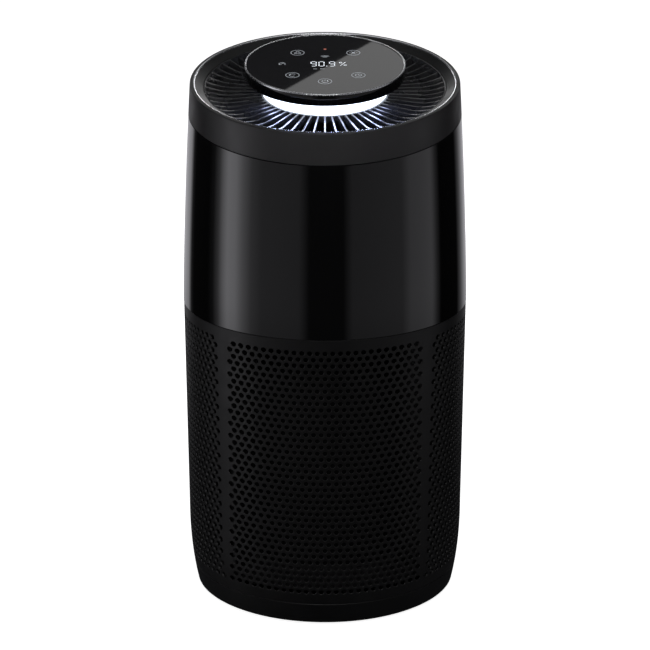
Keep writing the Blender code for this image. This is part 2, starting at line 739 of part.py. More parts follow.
def stator_mount():
    """Plate that holds the motor, and the guide vanes from its hub to the duct."""
    gaps = 2
    ring_r = duct_radius(STATOR_LOW_Z) - FIT
    radii = [STATOR_BORE_R, STATOR_HUB_R - 0.0025, STATOR_HUB_R - 0.0024, STATOR_HUB_R,
             ring_r - 0.0025, ring_r]

    def pair(index, radius):
        high = STATOR_TOP_Z if index < 2 else VANE_TOP_Z
        return at(radius, high), at(radius, STATOR_LOW_Z)

    mount = cells("stator_mount", spoked(STATOR_VANES, 0.0022, gaps),
                  [pair(i, r) for i, r in enumerate(radii)],
                  lambda column, row: row != 3 or column % (gaps + 1) == 0, "inner_plastic")
    holes = pins("stator_screw_holes", [(SCREW_CLEAR_R, STATOR_LOW_Z - 0.002),
                                        (SCREW_CLEAR_R, STATOR_TOP_Z + 0.002)], MOTOR_SCREWS)
    boolean(mount, "DIFFERENCE", holes)


def motor():
    floor_top = MOTOR_LOW_Z + MOTOR_FLOOR_T
    seat = BEARING_R + GAP
    inner = MOTOR_R - 0.002
    housing = turned("motor_housing", [
        at(seat, MOTOR_LOW_Z), at(MOTOR_R, MOTOR_LOW_Z), at(MOTOR_R, MOTOR_TOP_Z),
        at(inner, MOTOR_TOP_Z), at(inner, floor_top), at(seat, floor_top)], "steel")
    pilots = pins("motor_pilots", [(SCREW_R + GAP, MOTOR_LOW_Z - 0.002),
                                   (SCREW_R + GAP, floor_top - 0.001)], MOTOR_SCREWS)
    boolean(housing, "DIFFERENCE", pilots)
    cap_low = MOTOR_TOP_Z + GAP
    turned("motor_cap", tube_profile(at, seat, MOTOR_R, cap_low, cap_low + MOTOR_CAP_T), "steel")
    bore = SHAFT_R + GAP
    for name, low, thick in (("bearing_lower", MOTOR_LOW_Z, MOTOR_FLOOR_T),
                             ("bearing_upper", cap_low, MOTOR_CAP_T)):
        turned(name, tube_profile(at, bore, BEARING_R, low, low + thick), "bright_metal", 24)
    turned("motor_winding", tube_profile(at, WINDING_INNER_R, inner - FIT, floor_top + 0.001,
                                         MOTOR_TOP_Z - 0.004), "copper")
    for number, centre in enumerate(MOTOR_SCREWS, 1):
        screw(f"motor_screw_{number}", centre, STATOR_LOW_Z - GAP, STATOR_T + MOTOR_FLOOR_T - 0.002)


def motor_cover():
    """Domed fairing over the motor."""
    low, rise = VANE_TOP_Z + GAP, COVER_HEIGHT
    outer = [at(STATOR_HUB_R * math.cos(t), low + rise * math.sin(t))
             for t in (math.radians(a) for a in (0, 20, 40, 60, 77))]
    outer.append(at(0.0, low + rise))
    inner_r, inner_rise = STATOR_HUB_R - COVER_T, rise - COVER_T
    inner = [at(inner_r * math.cos(t), low + inner_rise * math.sin(t))
             for t in (math.radians(a) for a in (77, 60, 40, 20, 0))]
    cover = turned("motor_cover", [*outer, at(0.0, low + inner_rise), *inner], "inner_plastic")
    level = motor_lead_height()
    boolean(cover, "DIFFERENCE", radial_hole("cover_lead_hole", level, STATOR_HUB_R - 0.02,
                                             STATOR_HUB_R + 0.01))


# --- Leads ------------------------------------------------------------------------------
def lead_place(height):
    """Where the upright lead stands, behind the wall at a height."""
    radius = wall_radius(height) - LEAD_WALL_DISTANCE
    return radius * math.cos(LEAD_ANGLE), radius * math.sin(LEAD_ANGLE)


def lead_point(radius, height):
    return Vector((radius * math.cos(LEAD_ANGLE), radius * math.sin(LEAD_ANGLE), height))


def motor_lead_height():
    return MOTOR_TOP_Z + MOTOR_CAP_T + 0.006


def under_grille(radius):
    """Height just below the grille, along the lead's direction."""
    slant = TOP_SLOPE * radius * math.sin(LEAD_ANGLE)
    return RIM_Z - DISH_DROP - VANE_DEPTH - 0.009 + slant


def display_route():
    """From the power board, up behind the wall, under the grille and into the pod."""
    board_z = FOOT_HEIGHT + FLOOR_T + 0.004 + BOARD_T + LEAD_R + FIT
    trunk = [lead_point(0.030, board_z), lead_point(0.100, board_z)]
    for height in (TRAY_TOP_Z - 0.012, TRAY_TOP_Z, DECK_LOW_Z * 0.5, DECK_TOP_Z, motor_lead_height()):
        x, y = lead_place(height)
        trunk.append(Vector((x, y, height)))
    head_r = wall_radius(RIM_Z) - LEAD_WALL_DISTANCE
    level = under_grille(DUCT_TOP_R)
    trunk += [lead_point(head_r, level - 0.030), lead_point(head_r - 0.001, level - 0.005),
              lead_point(DUCT_TOP_R, level), lead_point(0.060, under_grille(0.060)),
              lead_point(0.026, under_grille(0.026) + 0.004),
              lead_point(0.019, RIM_Z + POD_LOW - 0.010),
              lead_point(0.019, RIM_Z + POD_LOW + POD_FLOOR_T - 0.004)]
    return trunk


def motor_route():
    """From the upright lead, across the duct and through the fairing to the motor."""
    level = motor_lead_height()
    trunk_r = math.hypot(*lead_place(level)) - 2 * LEAD_R - FIT
    cap_top = MOTOR_TOP_Z + GAP + MOTOR_CAP_T
    return [lead_point(0.018, cap_top + GAP + LEAD_R), lead_point(0.028, level),
            lead_point(0.060, level), lead_point(trunk_r, level)]


def smooth(points, steps):
    """A curve through the points, as a list of places along it."""
    ends = [points[0] * 2 - points[1], *points, points[-1] * 2 - points[-2]]
    places = []
    for a, b, c, d in zip(ends, ends[1:], ends[2:], ends[3:]):
        for step in range(steps):
            t = step / steps
            places.append(0.5 * ((b * 2) + (c - a) * t + (a * 2 - b * 5 + c * 4 - d) * t * t
                                 + (b * 3 - a - c * 3 + d) * t ** 3))
    places.append(points[-1])
    return places


def lead(name, route):
    curve = bpy.data.curves.new(name, "CURVE")
    curve.dimensions = "3D"
    curve.bevel_depth = LEAD_R
    curve.bevel_resolution = 1
    curve.use_fill_caps = True
    places = smooth(route, LEAD_STEPS)
    line = curve.splines.new("POLY")
    line.points.add(len(places) - 1)
    for point, place in zip(line.points, places):
        point.co = (*place, 1.0)
    made = bpy.data.objects.new(name, curve)
    curve.materials.append(material("rubber"))
    bpy.context.scene.collection.objects.link(made)


# --- Head -------------------------------------------------------------------------------
BAND_LOW_Z = RIM_Z - BAND_HEIGHT


def upper_shell():
    """The gloss shell, with the sensor's opening at the back."""
    low = SEAM_Z + SEAM_GAP / 2
    high = BAND_LOW_Z - SEAM_GAP / 2
    opening = (SEAM_Z + FLAP_LOW, SEAM_Z + FLAP_LOW + FLAP_HEIGHT)
    heights = [(low, 0.0), (opening[0], 0.0), (opening[1], 0.0),
               ((opening[1] + high) / 2, TOP_SLOPE / 2), (high, TOP_SLOPE)]
    angles = [math.tau * i / SHELL_STEPS for i in range(SHELL_STEPS)]
    middle = SHELL_STEPS // 4
    reach = round(FLAP_HALF / (math.tau / SHELL_STEPS))
    cells("upper_shell", angles, [(on_wall(0.0, z, s), on_wall(WALL, z, s)) for z, s in heights],
          lambda column, row: not (row == 1 and middle - reach <= column < middle + reach),
          "gloss_shell")


def sensor_flap():
    """Curved flap, level with the shell, on a moulded hinge along its lower outer edge."""
    low = SEAM_Z + FLAP_LOW + FLAP_GAP
    high = SEAM_Z + FLAP_LOW + FLAP_HEIGHT - FLAP_GAP
    side = FLAP_HALF - FLAP_GAP / BODY_R
    angles = [BACK - side, BACK, BACK + side]
    flap = cells("sensor_cover", angles, [(on_wall(0.0, z), on_wall(WALL - 0.0004, z)) for z in (low, high)],
                 lambda column, row: True, "gloss_shell", closed=False)
    hinge = Vector((0.0, wall_radius(low), low))
    flap.data.transform(Matrix.Translation(-hinge))
    flap.location = hinge


def dust_sensor():
    width, height = SENSOR
    middle = SEAM_Z + FLAP_LOW + FLAP_HEIGHT / 2
    face_y = wall_radius(middle) - WALL - 2 * SENSOR_SPACE
    depth = face_y - duct_radius(middle + height / 2) - DUCT_T - SENSOR_SPACE
    body = block("dust_sensor", (-width / 2, face_y - depth, middle - height / 2),
                 (width / 2, face_y, middle + height / 2), "inner_plastic", 0.0012)
    bm = bmesh.new()
    add_pin(bm, [(SENSOR_PORT_R, -0.010), (SENSOR_PORT_R, 0.004)], (0.0, 0.0))
    place = Matrix.Translation((0.0, face_y, middle)) @ Matrix.Rotation(-math.pi / 2, 4, "X")
    bmesh.ops.transform(bm, matrix=place, verts=bm.verts)
    boolean(body, "DIFFERENCE", add("sensor_port", bm, None))


def top_rim():
    """Matte band, flush with the shell, with the sloping lip that leads down to the grille."""
    inner_r = RIM_R - LIP_RING_IN
    edge_r = RIM_R - RIM_EDGE_IN
    low = BAND_LOW_Z + SEAM_GAP / 2
    spigot = WALL + FIT
    outline = [
        on_wall(0.0, low, TOP_SLOPE), on_wall(0.0, RIM_Z - 0.0010, TOP_SLOPE),
        on_wall(0.0006, RIM_Z, TOP_SLOPE), top(edge_r, 0.0), top(edge_r - 0.0008, 0.0006),
        top(inner_r, LIP_DROP), top(inner_r, LIP_DROP + 0.002), top(edge_r - 0.004, 0.0045),
        on_wall(spigot + LIP_T, RIM_Z - 0.012, TOP_SLOPE),
        on_wall(spigot + LIP_T, low - LIP_HEIGHT, TOP_SLOPE),
        on_wall(spigot, low - LIP_HEIGHT, TOP_SLOPE), on_wall(spigot, low, TOP_SLOPE),
    ]
    turned("top_rim", outline, "matte_shell", SHELL_STEPS)


def dish_drop(radius):
    """How far the vanes' tops lie under the rim plane."""
    flat_r = LIGHT_R + (GRILLE_R - LIGHT_R) * DISH_FLAT_SHARE
    share = max(0.0, (radius - flat_r) / (GRILLE_R - flat_r))
    return DISH_DROP - (DISH_DROP - LIP_DROP - GAP) * share ** 1.6


def outlet_grille():
    inner = LIGHT_R + 0.0022
    outer_ring = GRILLE_R - 0.0016
    flat_r = LIGHT_R + (GRILLE_R - LIGHT_R) * DISH_FLAT_SHARE
    radii = [HUB_HOLE_R, inner, flat_r, outer_ring, GRILLE_R]

    def pair(radius):
        if radius == HUB_HOLE_R:
            return top(radius, DISH_DROP + 0.002), top(radius, DISH_DROP + 0.002 + HUB_T)
        return top(radius, dish_drop(radius)), top(radius, dish_drop(radius) + VANE_DEPTH)

    last = len(radii) - 2
    grille = cells("outlet_grille", spoked(VANES, VANE_T, 1), [pair(r) for r in radii],
                   lambda column, row: row in (0, last) or column % 2 == 0, "grille")
    deep = RIM_Z - DISH_DROP - VANE_DEPTH - 0.01
    holes = pins("hub_screw_holes", [(SCREW_CLEAR_R, deep), (SCREW_CLEAR_R, RIM_Z)],
                 POD_SCREW_PLACES, slope=TOP_SLOPE)
    boolean(grille, "DIFFERENCE", holes)


POD_SCREW_PLACES = on_circle(POD_SCREW_RING_R, POD_SCREWS, math.radians(90))


def hub_drop(radius, under=False):
    """Drop of the hub plate's top or underside, which rises to the vanes' inner ends."""
    inner = LIGHT_R + 0.0022
    share = (radius - HUB_HOLE_R) / (inner - HUB_HOLE_R)
    if under:
        start, end = DISH_DROP + 0.002 + HUB_T, DISH_DROP + VANE_DEPTH
    else:
        start, end = DISH_DROP + 0.002, DISH_DROP
    return start + (end - start) * share


def light_parts():
    low = hub_drop(LIGHT_R - LIGHT_T) - 2 * GAP
    high = -POD_LOW + GAP
    turned("light_ring", tube_profile(top, LIGHT_R - LIGHT_T, LIGHT_R, low, high), "light_guide",
           SHELL_STEPS)
    strip_r = LIGHT_R - LIGHT_T - 0.005
    turned("led_strip", tube_profile(top, strip_r - LED_STRIP_T, strip_r,
                                     hub_drop(strip_r) - 3 * GAP, high + GAP), "circuit_board")


def display_pod():
    """Shallow pan that carries the display, on a collar that stands on the grille's hub."""
    floor_top = -(POD_LOW + POD_FLOOR_T)
    seat = -(GLASS_TOP - GLASS_T - GAP)
    side_r = POD_R - 0.0005
    collar_r = LIGHT_R - LIGHT_T - 0.008
    collar_low = hub_drop(collar_r - COLLAR_T) - 2 * GAP
    outline = [
        top(0.0, -POD_LOW), top(collar_r - COLLAR_T, -POD_LOW), top(collar_r - COLLAR_T, collar_low),
        top(collar_r, collar_low), top(collar_r, -POD_LOW), top(side_r - 0.002, -POD_LOW),
        top(side_r, -POD_LOW - 0.0015), top(side_r, seat), top(side_r - POD_WALL, seat),
        top(side_r - POD_WALL, floor_top), top(0.0, floor_top)]
    pod = turned("display_pod", outline, "gloss_shell")
    boss_low = RIM_Z - hub_drop(POD_SCREW_RING_R - BOSS_R) + 2 * GAP
    boss_high = RIM_Z + POD_LOW + POD_FLOOR_T / 2
    bosses = pins("pod_bosses", [(BOSS_R * 0.8, boss_low), (BOSS_R * 0.8, boss_high)],
                  POD_SCREW_PLACES, slope=TOP_SLOPE)
    pilots = pins("pod_pilots", [(SCREW_R + GAP, boss_low - 0.005), (SCREW_R + GAP, boss_low + 0.012)],
                  POD_SCREW_PLACES, slope=TOP_SLOPE)
    lead_hole = pins("pod_lead_hole", [(LEAD_R + FIT, RIM_Z), (LEAD_R + FIT, RIM_Z + 0.03)],
                     [tuple(display_route()[-1].xy)], slope=TOP_SLOPE)
    for other, operation in ((bosses, "UNION"), (pilots, "DIFFERENCE"), (lead_hole, "DIFFERENCE")):
        boolean(pod, operation, other)
    for number, centre in enumerate(POD_SCREW_PLACES, 1):
        seat_z = RIM_Z - hub_drop(POD_SCREW_RING_R + SCREW_HEAD_R, under=True) - GAP
        screw(f"pod_screw_{number}", centre, seat_z, 0.014, slope=TOP_SLOPE)


def display():
    floor_top = POD_LOW + POD_FLOOR_T
    board_r = POD_R - POD_WALL - 0.006
    turned("control_board", [top(0.0, -(floor_top + GAP)), top(board_r, -(floor_top + GAP)),
                             top(board_r, -(floor_top + GAP + BOARD_T)),
                             top(0.0, -(floor_top + GAP + BOARD_T))], "circuit_board")
    glass_r = POD_R - BEZEL_W - GAP
    low, high = -(GLASS_TOP - GLASS_T), -GLASS_TOP
    turned("display_glass", [top(0.0, low), top(glass_r, low), top(glass_r, high + 0.0003),
                             top(glass_r - 0.0003, high), top(0.0, high)], "glass", SHELL_STEPS)
    bezel_top = -(GLASS_TOP + BEZEL_PROUD)
    turned("display_bezel", [top(POD_R - BEZEL_W, low), top(POD_R, low), top(POD_R, bezel_top + 0.0005),
                             top(POD_R - 0.0005, bezel_top), top(POD_R - BEZEL_W, bezel_top)],
           "bright_metal", SHELL_STEPS)


def build():
    for old in list(bpy.data.objects):
        bpy.data.objects.remove(old, do_unlink=True)
    base_pan()
    feet()
    base_screws()
    filter_tray()
    power_supply()
    mains_inlet()
    lower_shell()
    filter_door()
    notch_y = magnets()
    filter_cartridge()
    fan_deck(notch_y)
    inlet_guard()
    impeller()
    shaft_parts()
    air_duct()
    stator_mount()
    motor()
    motor_cover()
    lead("display_lead", display_route())
    lead("motor_lead", motor_route())
    upper_shell()
    sensor_flap()
    dust_sensor()
    top_rim()
    outlet_grille()
    light_parts()
    display_pod()
    display()


build()
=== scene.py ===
"""Looks of the cylindrical air purifier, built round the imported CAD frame, in metres.

-Y is the front. The head is slanted: ring-shaped pieces in it stay round from above,
and their height rises towards the back by TOP_SLOPE. The lower shell and the rear panel
are drilled with a fine triangular grid of round holes, straight through each quarter.
"""

import math

import bmesh
import bpy
from mathutils import Matrix, Vector

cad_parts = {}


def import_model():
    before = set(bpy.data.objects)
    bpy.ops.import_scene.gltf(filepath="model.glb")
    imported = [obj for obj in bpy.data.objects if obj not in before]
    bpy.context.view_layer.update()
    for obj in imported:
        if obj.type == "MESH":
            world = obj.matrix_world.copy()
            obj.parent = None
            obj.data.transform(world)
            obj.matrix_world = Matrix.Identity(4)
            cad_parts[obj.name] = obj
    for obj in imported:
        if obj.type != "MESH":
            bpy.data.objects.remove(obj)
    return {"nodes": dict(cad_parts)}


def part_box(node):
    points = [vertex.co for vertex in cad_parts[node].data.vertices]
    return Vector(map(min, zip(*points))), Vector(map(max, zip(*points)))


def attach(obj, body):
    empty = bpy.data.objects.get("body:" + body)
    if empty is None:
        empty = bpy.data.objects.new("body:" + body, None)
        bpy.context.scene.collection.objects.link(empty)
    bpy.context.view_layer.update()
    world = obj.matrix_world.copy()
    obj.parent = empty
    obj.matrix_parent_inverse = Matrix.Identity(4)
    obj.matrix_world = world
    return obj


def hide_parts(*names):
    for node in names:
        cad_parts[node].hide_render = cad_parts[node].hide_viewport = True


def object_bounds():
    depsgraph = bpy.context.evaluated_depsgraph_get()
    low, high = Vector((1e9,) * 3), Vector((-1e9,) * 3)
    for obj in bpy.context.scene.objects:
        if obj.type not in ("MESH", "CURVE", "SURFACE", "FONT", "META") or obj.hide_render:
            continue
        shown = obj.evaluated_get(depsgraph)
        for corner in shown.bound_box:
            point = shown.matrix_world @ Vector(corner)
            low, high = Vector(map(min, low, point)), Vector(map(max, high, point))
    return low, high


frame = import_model()
cad_low, cad_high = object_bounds()

# --- Sizes from the frame ---------------------------------------------------------------
SHELL_LOW, SHELL_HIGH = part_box("upper_shell")
LOWER_LOW, LOWER_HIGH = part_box("lower_shell")
DOOR_LOW, DOOR_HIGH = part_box("filter_door")
PAN_LOW, PAN_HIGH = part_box("base_pan")
BODY_R = SHELL_HIGH.x
SEAM_Z = (SHELL_LOW.z + LOWER_HIGH.z) / 2
POD_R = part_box("display_bezel")[1].x
LIGHT_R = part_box("light_ring")[1].x
GRILLE_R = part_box("outlet_grille")[1].x
FILTER_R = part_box("filter_cap_top")[1].x

# --- The body's outline, as in the CAD --------------------------------------------------
HEAD_HEIGHT = 0.254
RIM_Z = SEAM_Z + HEAD_HEIGHT
TOP_SLOPE = 0.162
UPPER_TAPER = 0.0109
SEAM_STEP = 0.0004
LOWER_TAPER = 0.0027
FOOT_ROUND_HEIGHT = 0.10
FOOT_ROUND_DEPTH = 0.0098
WALL = 0.0028
SEAM_GAP = 0.0004
BAND_HEIGHT = 0.034
RIM_EDGE_IN = 0.0042
LIP_RING_IN = 0.0151
LIP_DROP = 0.0060
EDGE = 0.0004              # small chamfer on the shells' edges
SPIGOT_GAP = 0.0010        # between a shell and the lip that reaches into it

# --- Perforation ------------------------------------------------------------------------
HOLE_PITCH = 0.00845
HOLE_R = 0.0028
HOLE_CHAMFER = 0.0004
SHEET = 0.0012             # thickness of the drilled wall
HOLE_ROWS = 40
HOLES_ACROSS = 26          # in the wider rows; the others have one less
TOP_ROW_Z = SEAM_Z - 0.0156
STEP = HOLE_PITCH / (2 * math.sqrt(3))   # a third of the row spacing
FIELD_HALF = HOLE_PITCH * HOLES_ACROSS / 2
ROW_SPACING = 3 * STEP
QUARTER = math.radians(90)
FIELD_END = math.radians(44.5)
BACK = math.radians(90)
DOOR_SIDE_GAP = 0.0004
DOOR_GAP = 0.0006          # over and under the rear panel and the sensor flap
FIN_T = 0.0016
FIN_GAP = 0.0025           # between the dark shade fins and the filter
NOTCH_WIDTH = 0.024        # finger notch in the rear panel's lower edge
NOTCH_HEIGHT = 0.0058

# --- Head -------------------------------------------------------------------------------
VANES = 60
VANE_T = 0.0020
VANE_DEPTH = 0.008
DISH_DROP = 0.0125
DISH_FLAT_SHARE = 0.62
HUB_HOLE_R = 0.030
POD_LOW = 0.0048
POD_FLOOR_T = 0.0025
POD_WALL = 0.0035
GLASS_TOP = 0.0183
GLASS_T = 0.0015
BEZEL_W = 0.0016
BEZEL_PROUD = 0.0004
FIT = 0.0003               # clearance between pieces, and the small chamfers on them
GRILLE_RING_W = 0.0016     # width of the grille's inner and outer ring
VANE_ROOT = 0.0010         # the vanes start this far inside the inner ring
COLLAR_IN = 0.0108         # the pod's collar stands this far inside the light ring
COLLAR_T = 0.0025

PLEATS = 150
HEM = 0.006                # the plain band at each end of the filter's sleeve

ROUND = 192                # steps round a large turned piece
SHARP = math.radians(32)


def wall_radius(height):
    """Outer radius of the body at a height."""
    if height >= SEAM_Z:
        return BODY_R - UPPER_TAPER * ((height - SEAM_Z) / HEAD_HEIGHT) ** 1.4
    taper = LOWER_TAPER * min(1.0, (SEAM_Z - height) / (SEAM_Z - FOOT_ROUND_HEIGHT))
    rounding = max(0.0, 1.0 - height / FOOT_ROUND_HEIGHT)
    return BODY_R - SEAM_STEP - taper - FOOT_ROUND_DEPTH * rounding ** 2.4


RIM_R = wall_radius(RIM_Z)

# --- Top rim ----------------------------------------------------------------------------
BAND_STRAIGHT = RIM_Z - 0.0010           # where the band's upper rounding starts
RIM_ROUNDING = ((0.0001, 0.0006), (0.0003, 0.0002), (0.0007, 0.0))   # inset, drop
FACE_IN = 0.0008           # the inner face starts this far in from the wall
FACE_T = 0.0012
LINE_W = 0.0016            # width of the bright line


def at(radius, height, slope=0.0):
    def point(angle):
        x, y = radius * math.cos(angle), radius * math.sin(angle)
        return Vector((x, y, height + slope * y))
    return point


def on_wall(inset, height, slope=0.0):
    def point(angle):
        level = height
        for _ in range(4):
            radius = wall_radius(level) - inset
            level = height + slope * radius * math.sin(angle)
        return Vector((radius * math.cos(angle), radius * math.sin(angle), level))
    return point


def top(radius, drop):
    """A profile point in the slanted head, at a drop below the rim plane."""
    return at(radius, RIM_Z - drop, TOP_SLOPE)


def tops(*pairs):
    return [top(radius, drop) for radius, drop in pairs]


def slanted(inset, height):
    """A point of the wall in the head, where rows lie parallel to the rim plane."""
    return on_wall(inset, height, TOP_SLOPE)


# --- Materials --------------------------------------------------------------------------
def map_range(tree, source, low, high, to_low, to_high, curve="LINEAR"):
    node = tree.nodes.new("ShaderNodeMapRange")
    node.interpolation_type = curve
    for socket, value in (("From Min", low), ("From Max", high), ("To Min", to_low), ("To Max", to_high)):
        node.inputs[socket].default_value = value
    tree.links.new(source, node.inputs["Value"])
    return node.outputs["Result"]


class Look:
    """A Principled material with helpers for its procedural nodes."""

    def __init__(self, name, colour, roughness, metallic=0.0):
        self.material = bpy.data.materials.new(name)
        self.material.use_nodes = True
        self.tree = self.material.node_tree
        self.shader = self.tree.nodes["Principled BSDF"]
        self.set("Base Color", (*colour, 1.0))
        self.set("Roughness", roughness)
        self.set("Metallic", metallic)
        self.place = self.tree.nodes.new("ShaderNodeTexCoord").outputs["Object"]
        self.normal = None

    def set(self, socket, value):
        self.shader.inputs[socket].default_value = value

    def noise(self, scale, detail=2.0, rough=0.5, stretch=None):
        source = self.place
        if stretch:
            mapping = self.tree.nodes.new("ShaderNodeMapping")
            mapping.inputs["Scale"].default_value = stretch
            self.tree.links.new(source, mapping.inputs["Vector"])
            source = mapping.outputs["Vector"]
        node = self.tree.nodes.new("ShaderNodeTexNoise")
        node.inputs["Scale"].default_value = scale
        node.inputs["Detail"].default_value = detail
        node.inputs["Roughness"].default_value = rough
        self.tree.links.new(source, node.inputs["Vector"])
        return node.outputs["Fac"]

    def texture(self, kind, settings, **inputs):
        """A texture node on object coordinates, with its settings and input values."""
        node = self.tree.nodes.new("ShaderNodeTex" + kind)
        for name, value in settings.items():
            setattr(node, name, value)
        for name, value in inputs.items():
            node.inputs[name.replace("_", " ")].default_value = value
        self.tree.links.new(self.place, node.inputs["Vector"])
        return node.outputs

    def vary(self, source, low, high):
        """Roughness that follows a texture."""
        rough = map_range(self.tree, source, 0.3, 0.7, low, high)
        self.tree.links.new(rough, self.shader.inputs["Roughness"])

    def tint(self, source, first, second, low=0.35, high=0.65):
        node = self.tree.nodes.new("ShaderNodeMix")
        node.data_type = "RGBA"
        node.inputs[6].default_value = (*first, 1.0)
        node.inputs[7].default_value = (*second, 1.0)
        self.tree.links.new(map_range(self.tree, source, low, high, 0.0, 1.0), node.inputs[0])
        self.tree.links.new(node.outputs[2], self.shader.inputs["Base Color"])

    def bump(self, source, strength, distance):
        node = self.tree.nodes.new("ShaderNodeBump")
        node.inputs["Strength"].default_value = strength
        node.inputs["Distance"].default_value = distance
        self.tree.links.new(source, node.inputs["Height"])
        if self.normal:
            self.tree.links.new(self.normal, node.inputs["Normal"])
        self.normal = node.outputs["Normal"]
        self.tree.links.new(self.normal, self.shader.inputs["Normal"])


def matte_plastic(name, colour, roughness, grain=0.00004, specular=0.45):
    """Moulded plastic with a fine spark-eroded grain and slightly uneven sheen."""
    look = Look(name, colour, roughness)
    lighter = tuple(channel * 1.25 for channel in colour)
    look.tint(look.noise(9.0, 3.0), colour, lighter)
    look.vary(look.noise(38.0, 4.0), roughness - 0.06, roughness + 0.06)
    look.bump(look.noise(2600.0, 2.0, 0.6), 0.35, grain)
    look.bump(look.noise(14.0, 1.0), 0.05, 0.0004)
    look.set("Specular IOR Level", specular)
    return look.material


def gloss_plastic(name, colour):
    """Piano-black moulding: a deep coat over black, faintly uneven like real plastic."""
    look = Look(name, colour, 0.07)
    look.tint(look.noise(6.0, 2.0), colour, tuple(channel * 1.4 for channel in colour))
    look.vary(look.noise(55.0, 5.0, 0.6), 0.045, 0.085)
    look.bump(look.noise(16.0, 1.0), 0.06, 0.0004)
    look.set("Coat Weight", 0.35)
    look.set("Coat Roughness", 0.03)
    return look.material


def metal(name, colour, roughness, streak=(1.0, 1.0, 1.0), scale=500.0):
    look = Look(name, colour, roughness, 1.0)
    brushed = look.noise(scale, 4.0, 0.7, streak)
    look.vary(brushed, roughness * 0.7, roughness * 1.5)
    look.tint(look.noise(30.0, 2.0), tuple(channel * 0.93 for channel in colour), colour)
    look.bump(brushed, 0.08, 0.00003)
    return look.material


def fibre(name, dark, light, scale, depth, stretch=(1.0, 1.0, 1.0)):
    look = Look(name, dark, 0.92)
    strands = look.noise(scale, 5.0, 0.75, stretch)
    look.tint(strands, dark, light)
    look.bump(strands, 0.6, depth)
    look.set("Sheen Weight", 0.15)
    look.set("Sheen Roughness", 0.5)
    return look.material


def woven(name, dark, light):
    """Fine net: yarn crossings over darker gaps."""
    look = Look(name, dark, 0.85)
    edge = look.texture("Voronoi", {"feature": "DISTANCE_TO_EDGE"}, Scale=650.0, Randomness=0.25)["Distance"]
    look.tint(edge, light, dark, 0.05, 0.25)
    look.bump(edge, -0.5, 0.0002)
    look.set("Specular IOR Level", 0.2)
    return look.material


def granular(name, dark, light, scale):
    """Packed grains, such as activated carbon."""
    look = Look(name, dark, 0.75)
    grains = look.texture("Voronoi", {}, Scale=scale)["Distance"]
    look.tint(grains, light, dark, 0.0, 0.6)
    look.bump(grains, 0.8, 0.0008)
    return look.material


def board(name):
    """Green solder mask over copper tracks."""
    look = Look(name, (0.010, 0.090, 0.045), 0.35)
    tracks = look.texture("Brick", {}, Scale=60.0, Mortar_Size=0.06, Color1=(0.008, 0.075, 0.036, 1.0),
                          Color2=(0.012, 0.100, 0.050, 1.0), Mortar=(0.030, 0.190, 0.080, 1.0))
    look.tree.links.new(tracks["Color"], look.shader.inputs["Base Color"])
    look.bump(tracks["Fac"], 0.3, 0.00005)
    return look.material


def winding(name):
    """Enamelled copper wire, wound in fine turns."""
    look = Look(name, (0.55, 0.20, 0.07), 0.28, 0.9)
    turns = look.texture("Wave", {"wave_type": "BANDS", "bands_direction": "Z"},
                         Scale=260.0, Distortion=1.2, Detail=2.0)["Fac"]
    look.tint(turns, (0.30, 0.09, 0.03), (0.62, 0.25, 0.09))
    look.bump(turns, 0.7, 0.0004)
    return look.material


def glow(name, colour, strength, base):
    """Frosted light guide, a little uneven where its diodes sit."""
    look = Look(name, base, 0.45)
    look.vary(look.noise(60.0, 2.0), 0.38, 0.52)
    look.bump(look.noise(1500.0, 2.0), 0.15, 0.00003)
    look.set("Emission Color", (*colour, 1.0))
    look.set("Emission Strength", strength)
    return look.material


def dark_glass(name):
    look = Look(name, (0.006, 0.006, 0.007), 0.04)
    look.tint(look.noise(5.0, 2.0), (0.005, 0.005, 0.006), (0.009, 0.009, 0.010))
    look.vary(look.noise(22.0, 5.0, 0.6), 0.010, 0.022)
    look.set("IOR", 1.52)
    look.set("Coat Weight", 0.6)
    look.set("Coat Roughness", 0.02)
    return look.material


